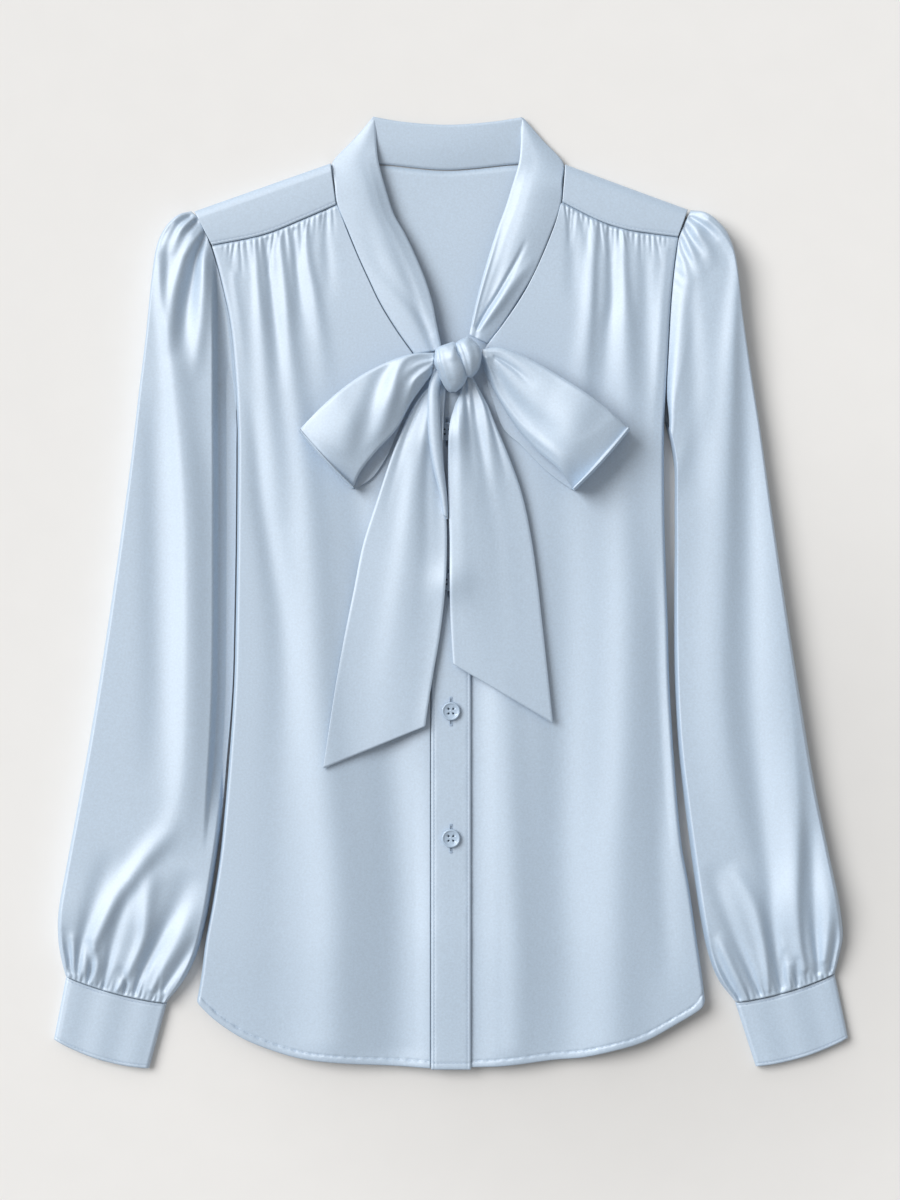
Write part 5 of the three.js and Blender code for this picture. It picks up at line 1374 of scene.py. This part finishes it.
@dataclass
class Loop(SidedPiece):
    """A loop of the bow: out from the knot, round its far end and back underneath."""

    base: float = 14.0
    turn: float = 6.0
    fold: float = 2.2
    level: float = 0.74
    facing: float = 0.0
    arch: float = 3.4
    sag: float = 1.6
    rim: float = 1.1
    belly: float = 1.2

    def grids(self) -> list[Array]:
        """Strips along the loop, from its top edge to its lip."""
        table = smooth_rows(LOOP_ROWS[self.side], 90)
        far, before = table[-1], table[-4]
        u = ends_crowded(60)
        upper_x = lerp(table[:-1, 0:1], table[:-1, 2:3], u)
        upper_y = lerp(table[:-1, 1:2], table[:-1, 3:4], u)
        rim = self.rim * bell(60 * np.minimum(u, 1 - u), 1.2)
        arch = self.arch * np.sin(np.pi * u) - self.sag * np.cos(np.pi * u) ** 2 - rim
        arch += self.facing * (0.4 - u)
        fold = fold_height(LOOP_FOLDS[self.side], upper_x, upper_y)
        upper = np.stack([upper_x, upper_y, table[:-1, 6:7] + arch + fold], axis=-1)
        edge = np.stack([lerp(far[0], far[2], u), lerp(far[1], far[3], u)], axis=-1)
        inside = np.stack([lerp(before[0], before[2], u), lerp(before[1], before[3], u)], axis=-1)
        outward = edge - inside
        outward /= np.linalg.norm(outward, axis=1)[:, None]
        belly = self.belly * np.sin(np.pi * u)[:, None]
        turned = []
        half = self.turn * lerp(self.level, 1.0, np.sin(np.pi * u))
        top_height = self.base + 2 * half
        for angle in np.radians(np.linspace(80, -90, 18)):
            plan = edge + outward * (belly - self.fold * (1 - math.cos(angle)))
            turned.append(with_depth(plan, self.base + half * (1 + math.sin(angle))))
        lower_rows = table[:-1][::-1]
        back_top = lerp(lower_rows[:, 0:2], lower_rows[:, 2:4], 0.1)
        lower_xy = lerp(back_top[:, None], lower_rows[:, 4:6][:, None], u[None, :, None])
        lower = with_depth(lower_xy, np.full(lower_xy.shape[:2], self.base))
        fall = smoothstep(np.linspace(0, 1, len(upper)), 0.7, 1)[:, None]
        upper[..., 2] = lerp(upper[..., 2], np.minimum(upper[..., 2], top_height + 0.2), fall)
        return [np.concatenate([upper, np.array(turned), lower], axis=0)]


# Rows down each tail: its two edges, its height over the front and its lengthwise fold
TAIL_ROWS = {
    Side.RIGHT: [
        (-10.5, 157, -3.4, 156.5, 19, 0), (-20.6, 147, -4.4, 146.5, 20.5, 1.5),
        (-29.5, 133.6, -5.4, 133.6, 22, 3), (-37.5, 116, -5.9, 115, 22.5, 3.5),
        (-44.5, 98.5, -5.6, 98, 21.5, 3), (-55.3, 66, -3.9, 67.7, 19.5, 2.2),
        (-65.4, 34, -3, 37.4, 18.4, 1.6), (-72, 1, -4.1, 4, 18, 1.2),
        (-78.8, -33, -7.6, -28, 17.6, 1), (-84.6, -66, -12.6, -58, 17.4, 0.8),
        (-90, -101, -16.4, -81, 17.3, 0.6), (-94.3, -129.9, -18.9, -98.8, 17.2, 0.5),
    ],
    Side.LEFT: [
        (9.4, 160, 15.4, 160.4, 20.4, 0), (6.6, 147, 22, 147.5, 20.8, 1.5),
        (2.6, 137, 27.4, 137, 22, 3), (-1.2, 122, 33, 123, 22.5, 3.2),
        (-2.2, 98, 43.5, 98, 21.5, 2.6), (-2, 70, 52.6, 72, 20, 2),
        (-1, 40, 59, 42, 19, 1.4), (-1, 12, 63.6, 11, 18.6, 1),
        (-0.6, -14, 67.6, -24, 18, 0.8), (0.4, -35, 71.6, -60, 17.6, 0.6),
        (1.5, -52.9, 75.5, -96.6, 17.4, 0.5),
    ],
}
# Folds that run down each tail
TAIL_FOLDS = {
    Side.RIGHT: [
        Fold(((-13, 152, 2, 0.42), (-22, 132, 3.4, 0.98), (-28, 110, 5, 1.26), (-31, 75, 6, 1.26),
              (-36, 24, 8, 0.98), (-46, -40, 10, 0.56), (-56, -90, 12, 0))),
        Fold(((-9.5, 150, 1.6, -1.4), (-13.5, 132, 2.6, -2.1), (-16.5, 105, 4, -2.24),
              (-18, 76, 5, -1.82), (-18, 30, 6, -1.12), (-22, -20, 8, -0.56), (-30, -70, 9, 0))),
        Fold(((-20, 146, 1.2, -0.63), (-34, 112, 2, -0.7), (-44, 78, 3, -0.28), (-50, 50, 3, 0))),
    ],
    Side.LEFT: [
        Fold(((9.8, 157, 1.4, -2.1), (11, 146, 2, -2.8), (12.6, 126, 2.8, -2.38), (14.4, 105, 4, -1.4),
              (17, 75, 5, 0))),
        Fold(((17, 157, 1.6, 0.98), (22, 146, 2.4, 1.68), (26.4, 127, 3.6, 1.82), (29, 100, 5, 1.54),
              (32, 60, 7, 0.98), (38, 5, 9, 0.56), (45, -50, 10, 0))),
        Fold(((5, 140, 2, 0.56), (5.6, 112, 3, 0.98), (6.6, 70, 5, 0.84), (9, 10, 7, 0.56),
              (12, -40, 8, 0))),
        Fold(((20, 152, 1, -0.7), (26, 138, 1.4, -1.12), (34, 110, 2, -0.84), (42, 80, 3, 0))),
    ],
}
# The narrow turned-over edge on the right tail: its outer and inner line and its height
TURNED_EDGE = [
    (-11.1, 165, -6.5, 160.5, 24), (-15.4, 152, -9.6, 149, 25), (-16.3, 136, -9.2, 134, 25.6),
    (-15.6, 116, -8.1, 114, 25), (-12.6, 95, -6.3, 92, 23.6), (-7.6, 74, -4, 70, 21.6),
    (-4.4, 58, -3.4, 54, 20),
]
BUTTONS = [(-3, 118.8), (-1.6, 7.8), (0, -87.7), (0, -181.7)]


def over_buttons(x: Array, y: Array) -> Array:
    """How far a tail is lifted where it lies over a button."""
    near = np.min([np.hypot(bx - x, by - y) for bx, by in BUTTONS], axis=0)
    return BUTTON_LIFT * bell(near, BUTTON_REACH)


@dataclass
class Tail(SidedPiece):
    """A hanging end of the bow, with lengthwise folds that open out towards its tip."""

    tilt: float = 3.0
    clearance: float = 0.3
    softness: float = 2.4
    rim: float = 0.7

    def grids(self) -> list[Array]:
        """Sections down the tail, and the turned-over edge on the right one."""
        table = smooth_rows(TAIL_ROWS[self.side], 150)
        u = ends_crowded(56)[None]
        start_x, start_y, end_x, end_y, high, fold = (table[:, k : k + 1] for k in range(6))
        x, y = lerp(start_x, end_x, u), lerp(start_y, end_y, u)
        crest = 0.62 if self.side is Side.RIGHT else 0.3
        fold = np.maximum(fold, 0)
        ridge = fold * bell(u - crest, 0.2) - 0.5 * fold * bell(u - crest - 0.28, 0.1)
        width = np.hypot(end_x - start_x, end_y - start_y)
        reach = np.minimum(u, 1 - u) * width
        rim = self.rim * bell(reach, 0.9)
        lift = over_buttons(x, y) * smoothstep(y, 150, 112)
        small = fold_height(TAIL_FOLDS[self.side], x, y) * smoothstep(reach, 0, 3)
        slope = -self.side.sign * self.tilt * (u - 0.5) * smoothstep(130 - y, 0, 120)
        height = high + ridge + lift + small + slope - rim
        under = lay_top(x, y) + DOUBLE + self.clearance
        apart = height - under
        blend = 0.5 * smoothstep(100 - y, 0, 60) * (np.hypot(apart, self.softness) - np.abs(apart))
        height = np.maximum(height, np.where(y < 100, under, 0)) + blend
        grids = [np.stack([x, y, height], axis=-1)]
        if self.side is Side.RIGHT:
            grids.append(self.turned_edge())
        return grids

    @staticmethod
    def turned_edge() -> Array:
        """The narrow strip where the tail's inner edge is turned over."""
        table = smooth_rows(TURNED_EDGE, 70)
        u = ends_crowded(16)[None]
        outer_x, outer_y, inner_x, inner_y, high = (table[:, k : k + 1] for k in range(5))
        arch = 1.4 * np.sin(np.pi * u) - 0.8 * bell(np.minimum(u, 1 - u), 0.08)
        return np.stack([lerp(outer_x, inner_x, u), lerp(outer_y, inner_y, u), high + arch], axis=-1)


@dataclass
class Buttons:
    """Four round buttons with a raised rim and four holes, over discs of painted shade."""

    radius: float = 6.8
    height: float = 2.6
    hole: float = 0.75
    spread: float = 1.7
    # Radius of the dark disc of painted shade under each button's holes
    hole_shade_radius: float = 3.4

    def profile(self) -> list[Point]:
        """The section of the button, from its axis round the rim and back."""
        rim = self.radius - 1.3
        return [(0, 0), (self.radius - 0.5, 0), (self.radius - 0.1, 0.25), (self.radius, 0.8),
                (self.radius, 1.8), (self.radius - 0.25, 2.35), (self.radius - 0.7, self.height),
                (rim + 0.15, self.height - 0.15), (rim - 0.35, 1.95), (rim - 0.9, 1.7), (0, 1.6)]

    def build(self, name: str, x: float, y: float) -> bpy.types.Object:
        """Spins the section and cuts the holes."""
        bm = bmesh.new()
        section = [bm.verts.new((r * MM, 0, h * MM)) for r, h in self.profile()]
        edges = [bm.edges.new(pair) for pair in zip(section, section[1:])]
        bmesh.ops.spin(bm, geom=section + edges, axis=(0, 0, 1), cent=(0, 0, 0), steps=48, angle=math.tau,
                       use_merge=True, use_duplicate=False)
        bmesh.ops.remove_doubles(bm, verts=bm.verts, dist=1e-7)
        bmesh.ops.recalc_face_normals(bm, faces=bm.faces)
        button = linked(name, bm)
        self.pierce(button)
        level = float(lay_top(x, y)) + 0.1
        button.data.transform(Matrix.Translation(Vector((x, y, level)) * MM))
        for face in button.data.polygons:
            face.use_smooth = True
        return button

    def pierce(self, button: bpy.types.Object) -> None:
        """Cuts the four holes through the button."""
        bm = bmesh.new()
        for dx in (-1, 1):
            for dy in (-1, 1):
                place = Matrix.Translation(Vector((dx * self.spread, dy * self.spread, 1)) * MM)
                bmesh.ops.create_cone(bm, cap_ends=True, segments=20, radius1=self.hole * MM,
                                      radius2=self.hole * MM, depth=8 * MM, matrix=place)
        cutter = linked("holes", bm)
        cut = button.modifiers.new("holes", "BOOLEAN")
        cut.operation = "DIFFERENCE"
        cut.solver = "EXACT"
        cut.object = cutter
        bpy.context.view_layer.update()
        graph = bpy.context.evaluated_depsgraph_get()
        pierced = bpy.data.meshes.new_from_object(button.evaluated_get(graph))
        button.modifiers.clear()
        button.data = pierced
        bpy.data.objects.remove(cutter)

    def hole_shade(self, number: int, x: float, y: float) -> None:
        """A dark disc of painted shade under a button, seen through its holes."""
        bm = bmesh.new()
        level = float(lay_top(x, y)) + 0.35
        place = Matrix.Translation(Vector((x, y, level)) * MM)
        radii = {"radius1": self.hole_shade_radius * MM, "radius2": (self.hole_shade_radius - 0.2) * MM}
        bmesh.ops.create_cone(bm, cap_ends=True, segments=24, depth=0.4 * MM, matrix=place, **radii)
        declare(coated(linked(f"shank_{number}", bm), SHADE))

    def dress(self) -> None:
        for number, (x, y) in enumerate(BUTTONS, 1):
            button = coated(self.build(f"sewn_button_{number}", x, y), BUTTON)
            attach(button, BODY)
            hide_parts(f"button_{number}")
            # A dark disc under each button paints the shade in its holes
            self.hole_shade(number, x, y)
            log.info("%s: %d faces", button.name, len(button.data.polygons))


@dataclass
class Stitching:
    """Rows of small stitches on the cloth, and the worked buttonholes."""

    pitch: float = 2.9
    length: float = 2.1
    radius: float = 0.26
    hole_half: float = 10.4
    hole_step: float = 0.6
    slit_half: float = 0.34
    purl: float = 1.1
    purl_radius: float = 0.3

    def stitch(self, bm: bmesh.types.BMesh, start: Array, end: Array, radius: float) -> None:
        """One stitch: a small long bead between two points in millimetres."""
        run = Vector(end - start)
        place = Matrix.Translation(Vector((start + end) / 2) * MM)
        turn = run.to_track_quat("X", "Z").to_matrix().to_4x4()
        size = Matrix.Diagonal((run.length / 2 * MM, radius * MM, radius * MM, 1))
        bmesh.ops.create_icosphere(bm, subdivisions=1, radius=1.0, matrix=place @ turn @ size)

    def row(self, bm: bmesh.types.BMesh, line: Array) -> None:
        """Stitches along a line of points."""
        steps = np.linalg.norm(np.diff(line, axis=0), axis=1)
        along = np.concatenate([[0], np.cumsum(steps)])
        for start in np.arange(0, along[-1] - self.length, self.pitch):
            ends = [np.array([np.interp(at, along, line[:, k]) for k in range(3)])
                    for at in (start, start + self.length)]
            self.stitch(bm, ends[0], ends[1], self.radius)

    def buttonhole(self, bm: bmesh.types.BMesh, x: float, y: float) -> None:
        """Close cross stitches down both sides of a slit, with a bar at each end."""
        levels = np.arange(y - self.hole_half, y + self.hole_half, self.hole_step)
        tops = band_surface(np.full(len(levels), x), levels)
        outer = self.slit_half + self.purl
        for level, top in zip(levels, tops):
            for side in (-1, 1):
                near = np.array([x + side * self.slit_half, level, top + 0.1])
                far = np.array([x + side * outer, level, top + 0.05])
                self.stitch(bm, near, far, self.purl_radius)
        for end, top in ((levels[0], tops[0]), (levels[-1], tops[-1])):
            for shift in (-0.5, 0, 0.5):
                bar = [np.array([x + side * outer, end + shift, top + 0.2]) for side in (-1, 1)]
                self.stitch(bm, *bar, self.purl_radius)

    def slit(self, bm: bmesh.types.BMesh, x: float, y: float) -> None:
        """A dark strip of painted shade in the slit of a buttonhole."""
        levels = np.linspace(y - self.hole_half, y + self.hole_half, 18)
        tops = band_surface(np.full(len(levels), x), levels)
        rows = []
        for level, top in zip(levels, tops):
            edges = [Vector((x + side * self.slit_half, level, top + 0.06)) for side in (-1, 1)]
            rows.append([bm.verts.new(edge * MM) for edge in edges])
        for low, high in zip(rows, rows[1:]):
            bm.faces.new((low[0], low[1], high[1], high[0]))

    def dress(self, sewn: Sequence[ClothPiece]) -> None:
        for piece in sewn:
            lines = piece.stitch_lines()
            if lines:
                bm = bmesh.new()
                for line in lines:
                    self.row(bm, line)
                declare(coated(linked(f"stitches_{piece.node}", bm), THREAD))
        # The buttonholes' slits get dark strips of painted shade
        worked, slit_shade = bmesh.new(), bmesh.new()
        for x, y in BUTTONS:
            self.buttonhole(worked, x, y)
            self.slit(slit_shade, x, y)
        declare(coated(linked("buttonholes", worked), THREAD))
        declare(coated(linked("buttonhole_slit_shade", slit_shade), SHADE))


@dataclass
class Studio:
    """The pale surface, the light from the upper left and the camera straight above."""

    lens: float = 88.7
    height: float = 2.2
    off_centre: Point = (-0.74, -5.55)
    low_strength: float = 0.6
    low_from: tuple[float, float, float] = (-1.6, 2.2, 1.3)
    low_width: float = 50.0
    sun_strength: float = 2.75
    sun_from: tuple[float, float, float] = (-2.0, 1.0, 2.1)
    sun_width: float = 38.0
    sky: tuple[float, float, float] = (0.385, 0.383, 0.38)

    def surface(self) -> None:
        """A wide pale surface just under the blouse."""
        bm = bmesh.new()
        bmesh.ops.create_grid(bm, x_segments=8, y_segments=8, size=3.0)
        ground = coated(linked("surface", bm), FLOOR)
        ground.data.transform(Matrix.Translation((0, 0, -0.2 * MM)))

    @staticmethod
    def sun(name: str, strength: float, place: Sequence[float], width: float) -> None:
        """A sun that shines from a place towards the middle of the blouse.

        Args:
            name: the light's name.
            strength: its strength.
            place: where it stands, in metres.
            width: the angle that it fills, in degrees.
        """
        data = bpy.data.lights.new(name, "SUN")
        data.energy = strength
        data.angle = math.radians(width)
        lamp = bpy.data.objects.new(name, data)
        lamp.location = place
        lamp.rotation_euler = (-Vector(place)).to_track_quat("-Z", "Y").to_euler()
        bpy.context.scene.collection.objects.link(lamp)

    def dress(self) -> None:
        """Sets the surface, lights, world and camera."""
        self.surface()
        self.sun("key", self.sun_strength, self.sun_from, self.sun_width)
        self.sun("low", self.low_strength, self.low_from, self.low_width)
        world = bpy.data.worlds.new("room")
        world.use_nodes = True
        world.node_tree.nodes["Background"].inputs["Color"].default_value = (*self.sky, 1)
        world.node_tree.nodes["Background"].inputs["Strength"].default_value = 1.0
        scene = bpy.context.scene
        scene.world = world
        scene.view_settings.view_transform = "Standard"
        self.aim(scene)

    def aim(self, scene: bpy.types.Scene) -> None:
        """Sets the camera straight above the blouse."""
        camera = bpy.data.cameras.new("camera")
        camera.lens = self.lens
        camera.sensor_width = 36
        camera.sensor_fit = "AUTO"
        camera.clip_start = 0.1
        camera.clip_end = 20
        eye = bpy.data.objects.new("camera", camera)
        eye.location = (self.off_centre[0] * MM, self.off_centre[1] * MM, self.height)
        scene.collection.objects.link(eye)
        scene.camera = eye


def pieces() -> list[ClothPiece]:
    """Every sewn piece with the cut of what shows of it."""
    laid, folded, gathered = Held.LAID, Held.FOLDED, Held.GATHERED
    return [
        Back("back", Cut(0.38, 0.68, 0.225, laid, ("surface",))),
        Placket("placket", Cut(0.03, 0.503, None, folded, ("front_right", "front_left")), wall=DOUBLE),
        CollarBack("collar_back", Cut(0.17, 0.036, 0.0048, folded, ("back",)), wall=DOUBLE),
        Knot("bow_knot", Cut(0.06, 0.09, None, folded, ("front_right",)), wall=0.9, ring=True, up=False),
        Front("front_right", Cut(0.19, 0.65, 0.108, gathered, ("back",))),
        Front("front_left", Cut(0.2, 0.65, 0.11, gathered, ("back",))),
        Yoke("yoke_right", Cut(0.11, 0.052, None, folded, ("back",)), up=False),
        Yoke("yoke_left", Cut(0.105, 0.048, None, folded, ("back",)), up=False),
        CollarFront("collar_right", Cut(0.042, 0.19, None, folded, ("front_right",)), wall=DOUBLE),
        CollarFront("collar_left", Cut(0.041, 0.185, None, folded, ("front_left",)), wall=DOUBLE),
        Sleeve("sleeve_right", Cut(0.28, 0.58, 0.13, gathered, ("surface",)), ring=True, up=False),
        Sleeve("sleeve_left", Cut(0.28, 0.58, 0.125, gathered, ("surface",)), ring=True, up=False),
        Cuff("cuff_right", Cut(0.16, 0.05, None, folded, ("surface",)), wall=DOUBLE, ring=True, up=False,
             seam=((-285.8, -285.1), (-211.1, -305.1)),
             edge=((-294.9, -331.6), (-224.2, -353.2)), bow=(2.8, 4.4)),
        Cuff("cuff_left", Cut(0.16, 0.05, None, folded, ("surface",)), wall=DOUBLE, ring=True, up=False,
             seam=((284.9, -282.9), (211.1, -304.4)),
             edge=((294.9, -330.4), (226.4, -351.8)), bow=(3.2, 3.6)),
        Loop("bow_loop_right", Cut(0.056, 0.235, None, folded, ("front_right",)), wall=DOUBLE, up=False,
             turn=9.0, facing=4.5),
        Loop("bow_loop_left", Cut(0.057, 0.25, None, folded, ("front_left",)), wall=DOUBLE, up=False,
             turn=12.6, level=0.88, facing=9.0),
        Tail("bow_tail_right", Cut(0.08, 0.3, 0.019, folded, ("front_right",)), wall=DOUBLE),
        Tail("bow_tail_left", Cut(0.08, 0.27, 0.0145, folded, ("front_left",)), wall=DOUBLE),
    ]


def main() -> None:
    """Dresses the whole blouse and sets the studio round it."""
    logging.basicConfig(level=logging.INFO, format="%(message)s")
    sewn = pieces()
    for piece in sewn:
        piece.dress()
    Buttons().dress()
    Stitching().dress(sewn)
    Studio().dress()


if __name__ == "__main__":
    main()
